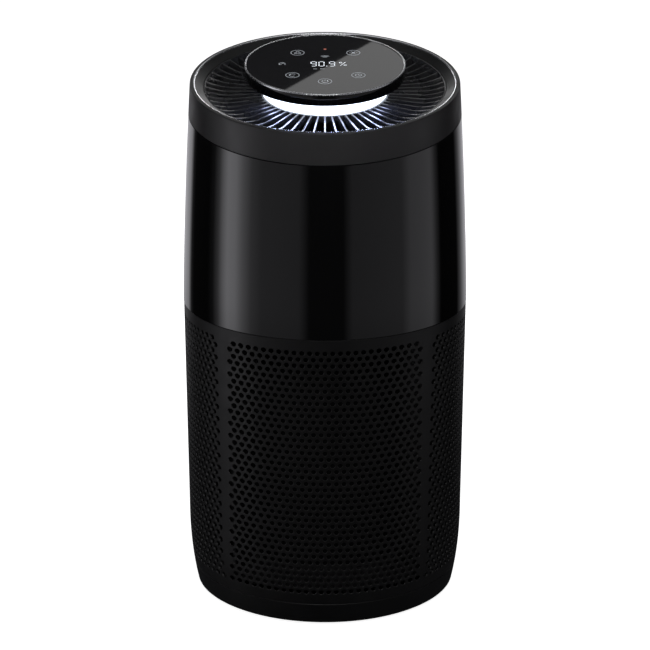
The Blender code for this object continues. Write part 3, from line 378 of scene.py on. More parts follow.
LOOKS = {
    "gloss_shell": gloss_plastic("gloss_black", (0.0009, 0.0009, 0.0010)),
    "matte_shell": matte_plastic("matte_black", (0.0110, 0.0106, 0.0112), 0.44),
    "perforated": matte_plastic("perforated_black", (0.0050, 0.0049, 0.0050), 0.44),
    # The rim's top face and lip: a less shiny copy of the rim plastic, which is its finish, with a darker
    # colour, which is painted shade.
    "rim_face_painted_shade": matte_plastic("rim_face_painted_shade", (0.0040, 0.0040, 0.0042), 0.42, 0.00001, specular=0.22),
    "base": matte_plastic("base_black", (0.0020, 0.0020, 0.0021), 0.50),
    "inner_plastic": matte_plastic("inner_plastic", (0.020, 0.020, 0.021), 0.58),
    "impeller": matte_plastic("impeller_plastic", (0.055, 0.057, 0.060), 0.42),
    "grille": matte_plastic("grille_satin", (0.011, 0.011, 0.012), 0.27, 0.00001),
    "light_guide": glow("light_ring_glow", (0.78, 0.86, 1.0), 3.0, (0.85, 0.92, 1.0)),
    "glass": dark_glass("display_glass"),
    "bright_metal": metal("polished_trim", (0.55, 0.56, 0.58), 0.22),
    "rim_line": metal("rim_line_satin", (0.86, 0.87, 0.90), 0.20),
    "steel": metal("zinc_steel", (0.55, 0.55, 0.56), 0.30),
    "copper": winding("copper_winding"),
    "circuit_board": board("circuit_board"),
    "rubber": matte_plastic("soft_rubber", (0.018, 0.018, 0.018), 0.82, 0.00006),
    "lead": matte_plastic("lead_sheath", (0.030, 0.030, 0.032), 0.55),
    "filter_paper": fibre("filter_paper", (0.66, 0.68, 0.67), (0.86, 0.87, 0.85), 700.0, 0.00025),
    "carbon": granular("carbon_grains", (0.008, 0.008, 0.009), (0.055, 0.055, 0.058), 420.0),
    "foam": fibre("foam_seal", (0.045, 0.045, 0.050), (0.085, 0.085, 0.090), 900.0, 0.0003),
    "mesh": woven("prefilter_weave", (0.0015, 0.0015, 0.0016), (0.010, 0.010, 0.011)),
    "symbols": glow("display_symbols", (0.80, 0.88, 0.98), 0.30, (0.42, 0.44, 0.46)),
    "digits": glow("display_digits", (0.86, 0.92, 1.0), 0.80, (0.70, 0.72, 0.75)),
    "red_mark": glow("display_red_mark", (1.0, 0.25, 0.14), 0.30, (0.55, 0.12, 0.08)),
}


# --- Mesh helpers -----------------------------------------------------------------------
def finish(name, mesh, look, body, replaced=(), sharp=SHARP):
    """Link a mesh as one piece with its look and body."""
    mesh.shade_smooth()
    mesh.set_sharp_from_angle(angle=sharp)
    made = bpy.data.objects.new(name, mesh)
    bpy.context.scene.collection.objects.link(made)
    mesh.materials.append(LOOKS[look])
    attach(made, body)
    if replaced:
        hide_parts(*replaced)
    return made


def mesh_from(bm, name, recalc=True):
    if recalc:
        bmesh.ops.recalc_face_normals(bm, faces=bm.faces)
    mesh = bpy.data.meshes.new(name)
    bm.to_mesh(mesh)
    bm.free()
    return mesh


def add_turned(bm, profile, steps=ROUND):
    """Turn a closed outline of profile points about Z. Points on the axis become one vertex."""
    angles = [math.tau * i / steps for i in range(steps)]
    rings = []
    for point in profile:
        places = [point(angle) for angle in angles]
        on_axis = places[0].xy.length < 1e-7
        rings.append([bm.verts.new(place) for place in (places[:1] if on_axis else places)])
    for low, high in zip(rings, rings[1:] + rings[:1]):
        if len(low) == len(high) == 1:
            continue
        for i in range(steps):
            j = (i + 1) % steps
            corners = [low[i % len(low)], low[j % len(low)], high[j % len(high)], high[i % len(high)]]
            bm.faces.new(list(dict.fromkeys(corners)))


def turned(name, profile, look, body, replaced=(), steps=ROUND):
    bm = bmesh.new()
    add_turned(bm, profile, steps)
    return finish(name, mesh_from(bm, name), look, body, replaced)


def box_profile(point, inner, outer, low, high, edge):
    """Outline of a ring with chamfered edges. low and high are as the point function reads them."""
    up = 1.0 if high > low else -1.0
    return [point(inner, low + up * edge), point(inner + edge, low), point(outer - edge, low),
            point(outer, low + up * edge), point(outer, high - up * edge), point(outer - edge, high),
            point(inner + edge, high), point(inner, high - up * edge)]


def skin(name, angles, profile, solid, look, body, replaced=(), closed=True):
    """A wall on a grid of columns round Z and rows of (outer, inner) point pairs."""
    bm = bmesh.new()
    count = len(angles) if closed else len(angles) - 1
    made = {}

    def corner(side, column, row):
        key = (side, column % len(angles), row)
        if key not in made:
            made[key] = bm.verts.new(profile[row][side](angles[key[1]]))
        return made[key]

    def here(column, row):
        if not closed and not 0 <= column < count:
            return False
        return 0 <= row < len(profile) - 1 and solid(column % count, row)

    for column in range(count):
        for row in range(len(profile) - 1):
            if not here(column, row):
                continue
            ring = [(column, row), (column + 1, row), (column + 1, row + 1), (column, row + 1)]
            bm.faces.new([corner(0, *key) for key in ring])
            bm.faces.new([corner(1, *key) for key in reversed(ring)])
            beside = [(column, row - 1), (column + 1, row), (column, row + 1), (column - 1, row)]
            for edge, other in enumerate(beside):
                if not here(*other):
                    first, second = ring[edge], ring[(edge + 1) % 4]
                    bm.faces.new([corner(0, *second), corner(0, *first),
                                  corner(1, *first), corner(1, *second)])
    return finish(name, mesh_from(bm, name), look, body, replaced)


# --- Perforated wall --------------------------------------------------------------------
def column_turn(u, radius):
    """Angle of a straight column from its quarter's middle, kept short of the quarter's end."""
    return max(-FIELD_END, min(FIELD_END, math.asin(u / radius)))


class Wall:
    """Builds a drilled curved wall, quarter by quarter, with welded corners."""

    def __init__(self):
        self.places = []
        self.index = {}
        self.faces = []
        self.behind = {}       # the inner vertex behind each outer one

    def keep(self, radius, angle, height):
        """The number of the vertex at a place, made when it is new."""
        place = (radius * math.cos(angle), radius * math.sin(angle), height)
        key = tuple(round(value * 2e5) for value in place)
        if key not in self.index:
            self.index[key] = len(self.places)
            self.places.append(place)
        return self.index[key]

    def vertex(self, quarter, across, height, depth):
        """across is ("line", u), straight through a quarter, or ("arc", share, side, end angle)."""
        radius = wall_radius(height) - depth
        if across[0] == "line":
            turn = column_turn(across[1], radius)
        else:
            _, share, side, end = across
            start = column_turn(FIELD_HALF, radius)
            turn = side * (start + (end - start) * share)
        return self.keep(radius, quarter + turn, height)

    def sheet(self, outer, inner):
        """A face on the outer skin and the same face, turned over, on the inner one."""
        self.behind.update(zip(outer, inner))
        self.faces += [outer, inner[::-1]]

    def close_edges(self):
        """Join the outer skin's free edges to the inner skin's."""
        uses = {}
        for face in self.faces:
            for a, b in zip(face, face[1:] + face[:1]):
                uses.setdefault(frozenset((a, b)), []).append((a, b))
        for used in uses.values():
            a, b = used[0]
            if len(used) == 1 and a in self.behind and b in self.behind:
                self.faces.append([b, a, self.behind[a], self.behind[b]])


def drilled_cell(wall, quarter, u, z):
    """A hexagonal cell round one hole: skins, chamfer and the hole's wall."""
    ring = [(math.cos(math.radians(30 * k)), math.sin(math.radians(30 * k))) for k in range(12)]
    hexagon = [(u, z + 2 * STEP), (u - HOLE_PITCH / 2, z + STEP), (u - HOLE_PITCH / 2, z - STEP),
               (u, z - 2 * STEP), (u + HOLE_PITCH / 2, z - STEP), (u + HOLE_PITCH / 2, z + STEP)]
    first = 3              # the ring point at the top corner of the hexagon

    def loop(radius, depth):
        return [wall.vertex(quarter, ("line", u + radius * c), z + radius * s, depth) for c, s in ring]

    wide, rim = loop(HOLE_R + HOLE_CHAMFER, 0.0), loop(HOLE_R, HOLE_CHAMFER)
    back = loop(HOLE_R, SHEET)
    outer = [wall.vertex(quarter, ("line", a), b, 0.0) for a, b in hexagon]
    inner = [wall.vertex(quarter, ("line", a), b, SHEET) for a, b in hexagon]
    wall.behind.update(zip(outer, inner))
    for side in range(6):
        a, b, c = [(first + 2 * side + extra) % 12 for extra in (0, 1, 2)]
        here, after = side, (side + 1) % 6
        wall.faces += [[outer[here], wide[b], wide[a]], [outer[here], outer[after], wide[b]],
                       [outer[after], wide[c], wide[b]]]
        wall.faces += [[inner[here], back[a], back[b]], [inner[here], back[b], inner[after]],
                       [inner[after], back[b], back[c]]]
    for k in range(12):
        m = (k + 1) % 12
        wall.faces += [[wide[k], wide[m], rim[m], rim[k]], [rim[k], rim[m], back[m], back[k]]]


def hole_rows():
    """(height, whether it is a wide row) from the top row down."""
    return [(TOP_ROW_Z - ROW_SPACING * row, row % 2 == 1) for row in range(HOLE_ROWS)]


def drilled_quarter(wall, quarter, low_levels, high_levels, ends, notch=None):
    """One quarter: the hole field, its margins above and below, and a solid strip each side.

    low_levels and high_levels run away from the field, as (height, depth of the outer skin).
    ends are the end angles of the strips, from the quarter's middle, at its low and high side.
    notch is the half width and the top of an opening in the middle of the low edge.
    """
    rows = hole_rows()
    half = HOLES_ACROSS // 2
    for z, wide in rows:
        centres = [k + 0.5 for k in range(-half, half)] if wide else list(range(-half + 1, half))
        for k in centres:
            drilled_cell(wall, quarter, k * HOLE_PITCH, z)
        if not wide:
            for side in (-1, 1):
                near, far = side * (FIELD_HALF - HOLE_PITCH / 2), side * FIELD_HALF
                patch = [(near, z + STEP), (near, z - STEP), (far, z - 2 * STEP), (far, z + 2 * STEP)]
                add_patch(wall, quarter, [(("line", u), height, 0.0) for u, height in patch], side > 0)
    columns = [k * HOLE_PITCH / 2 for k in range(-2 * half, 2 * half + 1)]
    top_z, low_z = rows[0][0], rows[-1][0]
    # Margins: the field's zigzag edge, then level rows.
    for side, levels in ((1, high_levels), (-1, low_levels)):
        row_z = top_z if side > 0 else low_z
        peak_even = side > 0    # the top row has its peaks on whole pitches
        def edge_height(column):
            peak = (column % 2 == 0) == peak_even
            return row_z + side * STEP * (2 if peak else 1)
        for column in range(len(columns) - 1):
            heights = [[(edge_height(column + extra), 0.0)] + list(levels) for extra in (0, 1)]
            for row in range(len(levels)):
                (a, da), (b, db) = heights[0][row], heights[0][row + 1]
                (c, dc), (d, dd) = heights[1][row], heights[1][row + 1]
                u, v = columns[column], columns[column + 1]
                if notch and side < 0 and abs(u + v) / 2 < notch[0] and a <= notch[1]:
                    continue
                patch = [(u, a, da), (v, c, dc), (v, d, dd), (u, b, db)]
                add_patch(wall, quarter, [(("line", x), h, e) for x, h, e in patch], side > 0)
    # Strips beside the field.
    marks = [(height, depth) for height, depth in reversed(high_levels)]
    marks.append((top_z + 2 * STEP, 0.0))
    for z, wide in rows:
        if wide:
            marks += [(z + STEP, 0.0), (z - STEP, 0.0)]
    marks += list(low_levels)
    shares = (0.0, 0.35, 0.7, 1.0)
    for side, end in ((-1, ends[0]), (1, ends[1])):
        for first, second in zip(shares, shares[1:]):
            for (a, da), (b, db) in zip(marks, marks[1:]):
                across = [("line", side * FIELD_HALF) if share == 0.0 else ("arc", share, side, end)
                          for share in (first, second)]
                patch = [(across[0], a, da), (across[0], b, db), (across[1], b, db), (across[1], a, da)]
                add_patch(wall, quarter, patch, side > 0)


def add_patch(wall, quarter, patch, forward):
    """A patch whose outer skin may be sunk a little, for a chamfered edge."""
    patch = patch if forward else patch[::-1]
    outer = [wall.vertex(quarter, across, height, depth) for across, height, depth in patch]
    inner = [wall.vertex(quarter, across, height, SHEET) for across, height, _ in patch]
    wall.sheet(outer, inner)


def edge_levels(start, end, count=2):
    """Levels of a margin from the field outwards, ending in a small chamfer."""
    way = 1.0 if end > start else -1.0
    inner_end = end - way * EDGE
    levels = [(start + (inner_end - start) * step / count, 0.0) for step in range(1, count + 1)]
    return levels + [(end, EDGE)]


def wall_mesh(wall, name):
    """Close the wall's edges and set the faces' direction."""
    wall.close_edges()
    mesh = bpy.data.meshes.new(name)
    mesh.from_pydata(wall.places, [], wall.faces)
    bm = bmesh.new()
    bm.from_mesh(mesh)
    bpy.data.meshes.remove(mesh)
    return mesh_from(bm, name)


def field_ends():
    rows = hole_rows()
    return rows[-1][0] - 2 * STEP, rows[0][0] + 2 * STEP


def lower_shell():
    """Three drilled quarters and the two full rings, above and below the door opening."""
    wall = Wall()
    low_edge, high_edge = field_ends()
    ring_low, ring_high = DOOR_LOW.z - DOOR_GAP, DOOR_HIGH.z + DOOR_GAP
    low_levels = [((low_edge + ring_low) / 2, 0.0), (ring_low, 0.0),
                  *edge_levels(ring_low, LOWER_LOW.z, 3)]
    high_levels = [(ring_high, 0.0), *edge_levels(ring_high, LOWER_HIGH.z, 2)]
    side_gap = DOOR_SIDE_GAP / BODY_R
    half = QUARTER / 2
    quarters = [(math.pi, (half - side_gap, half)), (1.5 * math.pi, (half, half)),
                (math.tau, (half, half - side_gap))]
    for quarter, ends in quarters:
        drilled_quarter(wall, quarter, low_levels, high_levels, ends)
    # The rings behind the door share their end points with the quarters' strips.
    start, stop, steps = BACK - half + side_gap, BACK + half - side_gap, 36
    for levels, forward in ((low_levels[1:], False), (high_levels, True)):
        for step in range(steps):
            turns = [start + (stop - start) * (step + extra) / steps for extra in (0, 1)]
            for (a, da), (b, db) in zip(levels, levels[1:]):
                patch = [(turns[0], a, da), (turns[1], a, da), (turns[1], b, db), (turns[0], b, db)]
                patch = patch if forward else patch[::-1]
                outer = [wall.keep(wall_radius(z) - depth, turn, z) for turn, z, depth in patch]
                inner = [wall.keep(wall_radius(z) - SHEET, turn, z) for turn, z, _ in patch]
                wall.sheet(outer, inner)
    mesh = wall_mesh(wall, "lower_shell_wall")
    return finish("lower_shell_wall", mesh, "perforated", "housing", ["lower_shell"])


def shade_screen_fins():
    """Dark upright fins inside the lower shell that centre the filter and part the space beside it. Their
    dark colour is painted shade: dark sheets where the side holes would show the light behind.
    """
    low, high = LOWER_LOW.z + 0.004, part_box("fan_deck")[0].z - 0.001
    levels = [low + (high - low) * share for share in (0.0, 0.12, 0.25, 0.5, 0.75, 1.0)]
    for number, degrees in enumerate((180.0, 222.5, 317.5, 360.0), 1):
        angle = math.radians(degrees)
        half = FIN_T / 2 / BODY_R
        rows = [(on_wall(SHEET + 0.0001, z), at(FILTER_R + FIN_GAP, z)) for z in levels]
        # dark sheets in the base plastic: painted shade seen through the side holes
        skin(f"filter_shade_screen_fin_{number}", [angle - half, angle + half], rows, lambda column, row: True,
             "base", "housing", closed=False)


def rear_panel():
    wall = Wall()
    low_edge, high_edge = field_ends()
    side_gap = DOOR_SIDE_GAP / BODY_R
    half = QUARTER / 2 - side_gap
    notch_top = DOOR_LOW.z + NOTCH_HEIGHT
    low_levels = [(notch_top, 0.0), *edge_levels(notch_top, DOOR_LOW.z, 1)]
    drilled_quarter(wall, BACK, low_levels, edge_levels(high_edge, DOOR_HIGH.z, 2), (half, half),
                    (NOTCH_WIDTH / 2, notch_top))
    mesh = wall_mesh(wall, "filter_door_panel")
    return finish("filter_door_panel", mesh, "perforated", "filter_door", ["filter_door"])


# --- Shells -----------------------------------------------------------------------------
def levels_between(low, high, slope_low, slope_high, count):
    """Heights and slopes of a wall's rows, with a small chamfer at both ends."""
    rows = [(0.0, EDGE)] + [(share / count, 0.0) for share in range(count + 1)] + [(1.0, EDGE)]
    made = []
    for number, (share, inset) in enumerate(rows):
        height = low + (high - low) * share
        if number == 1:
            height += EDGE
        elif number == len(rows) - 2:
            height -= EDGE
        slope = slope_low + (slope_high - slope_low) * share
        made.append((on_wall(inset, height, slope), on_wall(WALL, height, slope)))
    return made


def upper_shell():
    flap_low, flap_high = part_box("sensor_cover")
    low, high = SHELL_LOW.z, RIM_Z - BAND_HEIGHT - SEAM_GAP / 2
    opening = (flap_low.z - DOOR_GAP, flap_high.z + DOOR_GAP)
    rows = levels_between(low, opening[0], 0.0, 0.0, 4)[:-2]
    rows += [(on_wall(0.0, z), on_wall(WALL, z)) for z in (opening[0], sum(opening) / 2, opening[1])]
    first_row = len(rows) - 3
    rows += levels_between(opening[1], high, 0.0, TOP_SLOPE, 12)[2:]
    angles = [math.tau * i / ROUND for i in range(ROUND)]
    middle, reach = ROUND // 4, round(math.radians(7.5) / (math.tau / ROUND))
    skin("upper_shell_skin", angles, rows,
         lambda column, row: not (row in (first_row, first_row + 1)
                                  and middle - reach <= column < middle + reach),
         "gloss_shell", "housing", ["upper_shell"])


def sensor_flap():
    low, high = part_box("sensor_cover")
    side = math.asin(high.x / wall_radius(low.z))
    steps = 12
    angles = [BACK - side + 2 * side * step / steps for step in range(steps + 1)]
    heights = [low.z + (high.z - low.z) * share for share in (0.0, 0.02, 0.5, 0.98, 1.0)]
    insets = (EDGE, 0.0, 0.0, 0.0, EDGE)
    inner = WALL - 0.0004
    skin("sensor_flap", angles, [(on_wall(i, z), on_wall(inner, z)) for z, i in zip(heights, insets)],
         lambda column, row: True, "gloss_shell", "sensor_cover", ["sensor_cover"],
         closed=False)


def rim():
    """Matte band, the bright line on its upper edge, and the dark face down to the grille, whose colour is
    darker than the band's as painted shade.
    """
    inner_r, edge_r = RIM_R - LIP_RING_IN, RIM_R - RIM_EDGE_IN
    low, high = RIM_Z - BAND_HEIGHT + SEAM_GAP / 2, RIM_Z
    spigot, lip, spigot_low = WALL + SPIGOT_GAP, 0.002, low - 0.006
    band = [slanted(EDGE, low), slanted(0.0, low + EDGE)]
    band += [slanted(0.0, low + (BAND_STRAIGHT - low) * share) for share in (0.33, 0.66, 1.0)]
    band += [slanted(inset, high - drop) for inset, drop in RIM_ROUNDING]
    outline = [*band, slanted(FACE_IN, high - FACE_T),
               *tops((edge_r, FACE_T), (inner_r, LIP_DROP + FACE_T), (inner_r, LIP_DROP + 0.002),
                     (edge_r - 0.003, 0.0062)),
               slanted(spigot + lip, high - 0.012), slanted(spigot + lip, spigot_low),
               slanted(spigot, spigot_low), slanted(spigot, low)]
    turned("rim_band", outline, "matte_shell", "housing", ["top_rim"])
    line_in, line_drop, line_t = edge_r - LINE_W, 0.0013, 0.0004
    face_out = line_in - 0.0002
    face = [slanted(FACE_IN, high), *tops((edge_r + 0.0002, 0.0), (edge_r, 0.0002), (edge_r, line_t),
                                          (line_in, line_drop + line_t), (line_in, line_drop))]
    face += [top(face_out - (face_out - inner_r) * share,
                 line_drop + (LIP_DROP - line_drop) * share ** 0.9)
             for share in (0.06, 0.2, 0.4, 0.6, 0.8, 0.93, 1.0)]
    face += [*tops((inner_r, LIP_DROP + FACE_T), (edge_r, FACE_T)), slanted(FACE_IN, high - FACE_T)]
    # the face's darker colour than the band's is painted shade
    turned("rim_inner_face", face, "rim_face_painted_shade", "housing")
    line = tops((edge_r, 0.0), (edge_r - 0.0004, 0.0001), (edge_r - 0.0008, 0.0003),
                (edge_r - 0.0011, 0.0005), (edge_r - 0.0014, 0.0009), (line_in, line_drop),
                (line_in, line_drop + line_t), (edge_r, line_t))
    turned("rim_line", line, "rim_line", "housing")


def base():
    """Pan with a softly rounded lower edge, a seam lip and a recess for the mains inlet."""
    floor_low, split = PAN_LOW.z, LOWER_LOW.z - SEAM_GAP
    rise = [floor_low + (split - floor_low) * share for share in (0.06, 0.14, 0.25, 0.4, 0.55, 0.7, 0.85)]
    lip = WALL + 0.0010
    outline = [at(0.0, floor_low), on_wall(0.004, floor_low), on_wall(0.0016, floor_low + 0.0004),
               *[on_wall(0.0, height) for height in rise], on_wall(0.0, split - EDGE), on_wall(EDGE, split),
               on_wall(lip, split), on_wall(lip, PAN_HIGH.z), on_wall(lip + 0.002, PAN_HIGH.z),
               on_wall(lip + 0.002, floor_low + 0.0025), at(0.0, floor_low + 0.0025)]
    pan = turned("base_pan_shell", outline, "base", "housing", ["base_pan"])
    low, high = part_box("mains_inlet")
    bm = bmesh.new()
    size = high - low + Vector((0.0006, 0.05, 0.0006))
    middle = (high + low) / 2
    bmesh.ops.create_cube(bm, size=1.0, matrix=Matrix.Translation(middle) @ Matrix.Diagonal((*size, 1.0)))
    cut(pan, bm)


def cut(target, bm):
    """Cut a bmesh out of a piece and leave no modifier behind."""
    mesh = mesh_from(bm, "cutter")
    tool = bpy.data.objects.new("cutter", mesh)
    bpy.context.scene.collection.objects.link(tool)
    step = target.modifiers.new("cut", "BOOLEAN")
    step.operation = "DIFFERENCE"
    step.solver = "EXACT"
    step.object = tool
    bpy.context.view_layer.update()
    graph = bpy.context.evaluated_depsgraph_get()
    done = bpy.data.meshes.new_from_object(target.evaluated_get(graph))
    target.modifiers.clear()
    target.data = done
    bpy.data.objects.remove(tool)


def feet():
    for number in range(1, 5):
        name = f"foot_pad_{number}"
        low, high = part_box(name)
        centre, radius = (low + high) / 2, (high.x - low.x) / 2
        bm = bmesh.new()
        outline = [(0.0, low.z), (radius * 0.82, low.z), (radius * 0.93, low.z + 0.0003),
                   (radius, low.z + 0.001), (radius, high.z), (0.0, high.z)]
        add_turned(bm, [at(r, z) for r, z in outline], 48)
        bmesh.ops.translate(bm, verts=bm.verts, vec=(centre.x, centre.y, 0.0))
        finish(f"rubber_foot_{number}", mesh_from(bm, name), "rubber", "housing", [name])


# --- Head -------------------------------------------------------------------------------
def dish_drop(radius):
    """How far the vanes' tops lie under the rim plane."""
    flat_r = LIGHT_R + (GRILLE_R - LIGHT_R) * DISH_FLAT_SHARE
    share = max(0.0, (radius - flat_r) / (GRILLE_R - flat_r))
    return DISH_DROP - (DISH_DROP - LIP_DROP - FIT) * share ** 1.6


def grille():
    """Radial vanes with rounded tops between an inner and an outer ring, on a hub plate."""
    inner, outer_ring = LIGHT_R + 2 * FIT, GRILLE_R - GRILLE_RING_W
    low_rel = DISH_DROP + VANE_DEPTH
    ring_low = low_rel - 0.001
    bm = bmesh.new()
    add_turned(bm, box_profile(top, outer_ring, GRILLE_R, dish_drop(GRILLE_R), ring_low, FIT))
    add_turned(bm, tops((HUB_HOLE_R, DISH_DROP + 0.0020), (inner, DISH_DROP + FIT),
                        (inner + GRILLE_RING_W, DISH_DROP + FIT), (inner + GRILLE_RING_W, ring_low),
                        (inner, ring_low), (HUB_HOLE_R, DISH_DROP + 0.0045)))
    stations = 16
    start, end = inner + VANE_ROOT, outer_ring + 0.0006
    half = VANE_T / 2
    section = [(-half * 0.7, 1.0), (-half, 0.55), (-half, 0.05), (-half * 0.62, 0.0),
               (half * 0.62, 0.0), (half, 0.05), (half, 0.55), (half * 0.7, 1.0)]
    for vane in range(VANES):
        middle = math.tau * vane / VANES
        rings = []
        for station in range(stations + 1):
            radius = start + (end - start) * station / stations
            drop = dish_drop(min(radius, GRILLE_R))
            depth = low_rel - drop
            ring = []
            for across, down in section:
                angle = middle + across / radius
                ring.append(bm.verts.new(top(radius, drop + depth * down)(angle)))
            rings.append(ring)
        for low, high in zip(rings, rings[1:]):
            for i in range(len(section)):
                j = (i + 1) % len(section)
                bm.faces.new([low[i], low[j], high[j], high[i]])
        bm.faces.new(rings[0])
        bm.faces.new(rings[-1][::-1])
    finish("outlet_vanes", mesh_from(bm, "outlet_vanes"), "grille", "housing", ["outlet_grille"])


def light():
    low, high = DISH_DROP + 0.0002, FIT - POD_LOW
    turned("light_ring_guide", box_profile(top, LIGHT_R - 0.0028, LIGHT_R, low, high, FIT),
           "light_guide", "housing", ["light_ring"])


def pod():
    """Shallow round pan under the glass, with soft edges and the collar it stands on."""
    side_r, under, floor_top = POD_R - 0.0005, -POD_LOW, -(POD_LOW + POD_FLOOR_T)
    seat = -(GLASS_TOP - GLASS_T - FIT)
    collar_r = LIGHT_R - COLLAR_IN
    turned("display_pod_shell", tops(
        (0.0, under), (collar_r - COLLAR_T, under), (collar_r - COLLAR_T, DISH_DROP),
        (collar_r, DISH_DROP), (collar_r, under), (side_r - 0.0024, under),
        (side_r - 0.0012, under - 0.0002), (side_r - 0.0004, under - 0.0008), (side_r, under - 0.0018),
        (side_r, seat + FIT), (side_r - FIT, seat), (side_r - POD_WALL, seat),
        (side_r - POD_WALL, floor_top), (0.0, floor_top)),
        "gloss_shell", "housing", ["display_pod"])
    low, bezel_top, bezel_in = -(GLASS_TOP - GLASS_T), -(GLASS_TOP + BEZEL_PROUD), POD_R - BEZEL_W
    turned("display_trim_ring", tops(
        (bezel_in, low), (POD_R - FIT, low), (POD_R, low - FIT), (POD_R, bezel_top + 0.0006),
        (POD_R - 0.0002, bezel_top + 0.0002), (POD_R - 0.0006, bezel_top), (bezel_in + FIT, bezel_top),
        (bezel_in, bezel_top + FIT)),
        "bright_metal", "housing", ["display_bezel"])
    glass_r = bezel_in - FIT
    turned("display_glass_disc", tops(
        (0.0, low), (glass_r, low), (glass_r, -GLASS_TOP + 0.0004), (glass_r - 0.0001, -GLASS_TOP + 0.0001),
        (glass_r - 0.0004, -GLASS_TOP), (glass_r - 0.0008, -GLASS_TOP), (glass_r - 0.0014, -GLASS_TOP),
        (0.0, -GLASS_TOP)),
        "glass", "housing", ["display_glass"])


# --- Symbols on the glass ---------------------------------------------------------------
INK = 0.00004              # how far the printed symbols stand over the glass


def add_stroke(bm, points, width, closed=False):
    """A flat ribbon along points of the glass, as a thin closed solid."""
    count = len(points)
    sides = []
    for i, point in enumerate(points):
        before = points[(i - 1) % count] if closed or i else point
        after = points[(i + 1) % count] if closed or i < count - 1 else point
        along = (Vector(after) - Vector(before)).normalized()
        across = Vector((-along.y, along.x)) * width / 2
        sides.append((Vector(point) + across, Vector(point) - across))
    rings = []
    for left, right in sides:
        ring = []
        for place, lift in ((left, INK), (right, INK), (right, -INK), (left, -INK)):
            height = RIM_Z + GLASS_TOP + lift + TOP_SLOPE * place.y
            ring.append(bm.verts.new((place.x, place.y, height)))
        rings.append(ring)
    pairs = list(zip(rings, rings[1:])) + ([(rings[-1], rings[0])] if closed else [])
    for low, high in pairs:
        for i in range(4):
            bm.faces.new([low[i], low[(i + 1) % 4], high[(i + 1) % 4], high[i]])
    if not closed:
        bm.faces.new(rings[0])
        bm.faces.new(rings[-1][::-1])


def arc(centre, radius, start, end, steps=24, squash=1.0):
    turns = [math.radians(start + (end - start) * i / steps) for i in range(steps + 1)]
    return [(centre[0] + radius * math.cos(t), centre[1] + radius * math.sin(t) * squash) for t in turns]


def circle(centre, radius, steps=40):
    return arc(centre, radius, 0, 360 * (steps - 1) / steps, steps - 1)


def dot(bm, centre, radius):
    add_stroke(bm, circle(centre, radius / 2, 20), radius, closed=True)


SEGMENTS = {"0": "abcdef", "9": "abcdfg"}


def add_digit(bm, sign, left, low, width, height, stroke):
    right, middle, high = left + width, low + height / 2, low + height
    gap = stroke * 0.7
    lines = {
        "a": ((left + gap, high), (right - gap, high)), "d": ((left + gap, low), (right - gap, low)),
        "g": ((left + gap, middle), (right - gap, middle)),
        "b": ((right, high - gap), (right, middle + gap)), "c": ((right, middle - gap), (right, low + gap)),
        "e": ((left, middle - gap), (left, low + gap)), "f": ((left, high - gap), (left, middle + gap))}
    for segment in SEGMENTS[sign]:
        add_stroke(bm, lines[segment], stroke)


KEYS = ((-0.031, 0.034), (0.032, 0.034), (-0.036, -0.033), (0.037, -0.033), (0.0, -0.051))
KEY_R = 0.0075


def symbols():
    """Ringed touch keys, a reading and a few plain marks. None of them is a letter."""
    bm = bmesh.new()
    for x, y in KEYS:
        add_stroke(bm, circle((x, y), KEY_R), 0.0006, closed=True)
    power, fan, leaf, lamp, timer = KEYS[4], KEYS[0], KEYS[2], KEYS[1], KEYS[3]
    add_stroke(bm, arc(power, 0.0034, 125, 415), 0.0007)
    add_stroke(bm, [(power[0], power[1] + 0.0012), (power[0], power[1] + 0.0044)], 0.0007)
    for turn in (90, 210, 330):
        way = math.radians(turn)
        tip = (fan[0] + 0.0022 * math.cos(way), fan[1] + 0.0022 * math.sin(way))
        add_stroke(bm, arc(tip, 0.0016, turn - 120, turn + 150, 14), 0.0006)
    dot(bm, lamp, 0.0018)
    for turn in range(0, 360, 60):
        way = math.radians(turn)
        ends = [(lamp[0] + r * math.cos(way), lamp[1] + r * math.sin(way)) for r in (0.0030, 0.0044)]
        add_stroke(bm, ends, 0.0006)
    add_stroke(bm, circle(timer, 0.0036, 28), 0.0006, closed=True)
    add_stroke(bm, [(timer[0], timer[1] + 0.0024), timer, (timer[0] + 0.0018, timer[1])], 0.0006)
    add_stroke(bm, arc(leaf, 0.0036, 40, 310), 0.0007)
    side = (-0.048, 0.0)
    add_stroke(bm, arc(side, 0.0034, -30, 210, 18, 1.2), 0.0007)
    add_stroke(bm, [(side[0] - 0.0030, side[1] - 0.0020), (side[0] + 0.0022, side[1] + 0.0030)], 0.0006)
    for radius in (0.0022, 0.0044, 0.0066):
        add_stroke(bm, arc((0.0, 0.0185), radius, 45, 135, 14), 0.0007)
    for x in (-0.011, -0.003):
        add_stroke(bm, [(x - 0.0022, -0.0145), (x + 0.0022, -0.0145)], 0.0009)
    finish("display_marks", mesh_from(bm, "display_marks"), "symbols", "housing")

    bm = bmesh.new()
    width, height, stroke = 0.0056, 0.0135, 0.0012
    left = -0.0155
    for place, sign in enumerate("909"):
        extra = 0.0030 if place == 2 else 0.0
        add_digit(bm, sign, left + place * 0.0088 + extra, -0.0065, width, height, stroke)
    dot(bm, (left + 2 * 0.0088 - 0.0002, -0.0062), 0.0008)
    mark = 0.0175
    add_stroke(bm, circle((mark, 0.0040), 0.0014, 18), 0.0007, closed=True)
    add_stroke(bm, circle((mark + 0.0050, -0.0035), 0.0014, 18), 0.0007, closed=True)
    add_stroke(bm, [(mark - 0.0006, -0.0052), (mark + 0.0056, 0.0057)], 0.0007)
    finish("display_reading", mesh_from(bm, "display_reading"), "digits", "housing")

    bm = bmesh.new()
    dot(bm, (0.0, 0.045), 0.0016)
    finish("display_red_dot", mesh_from(bm, "display_red_dot"), "red_mark", "housing")


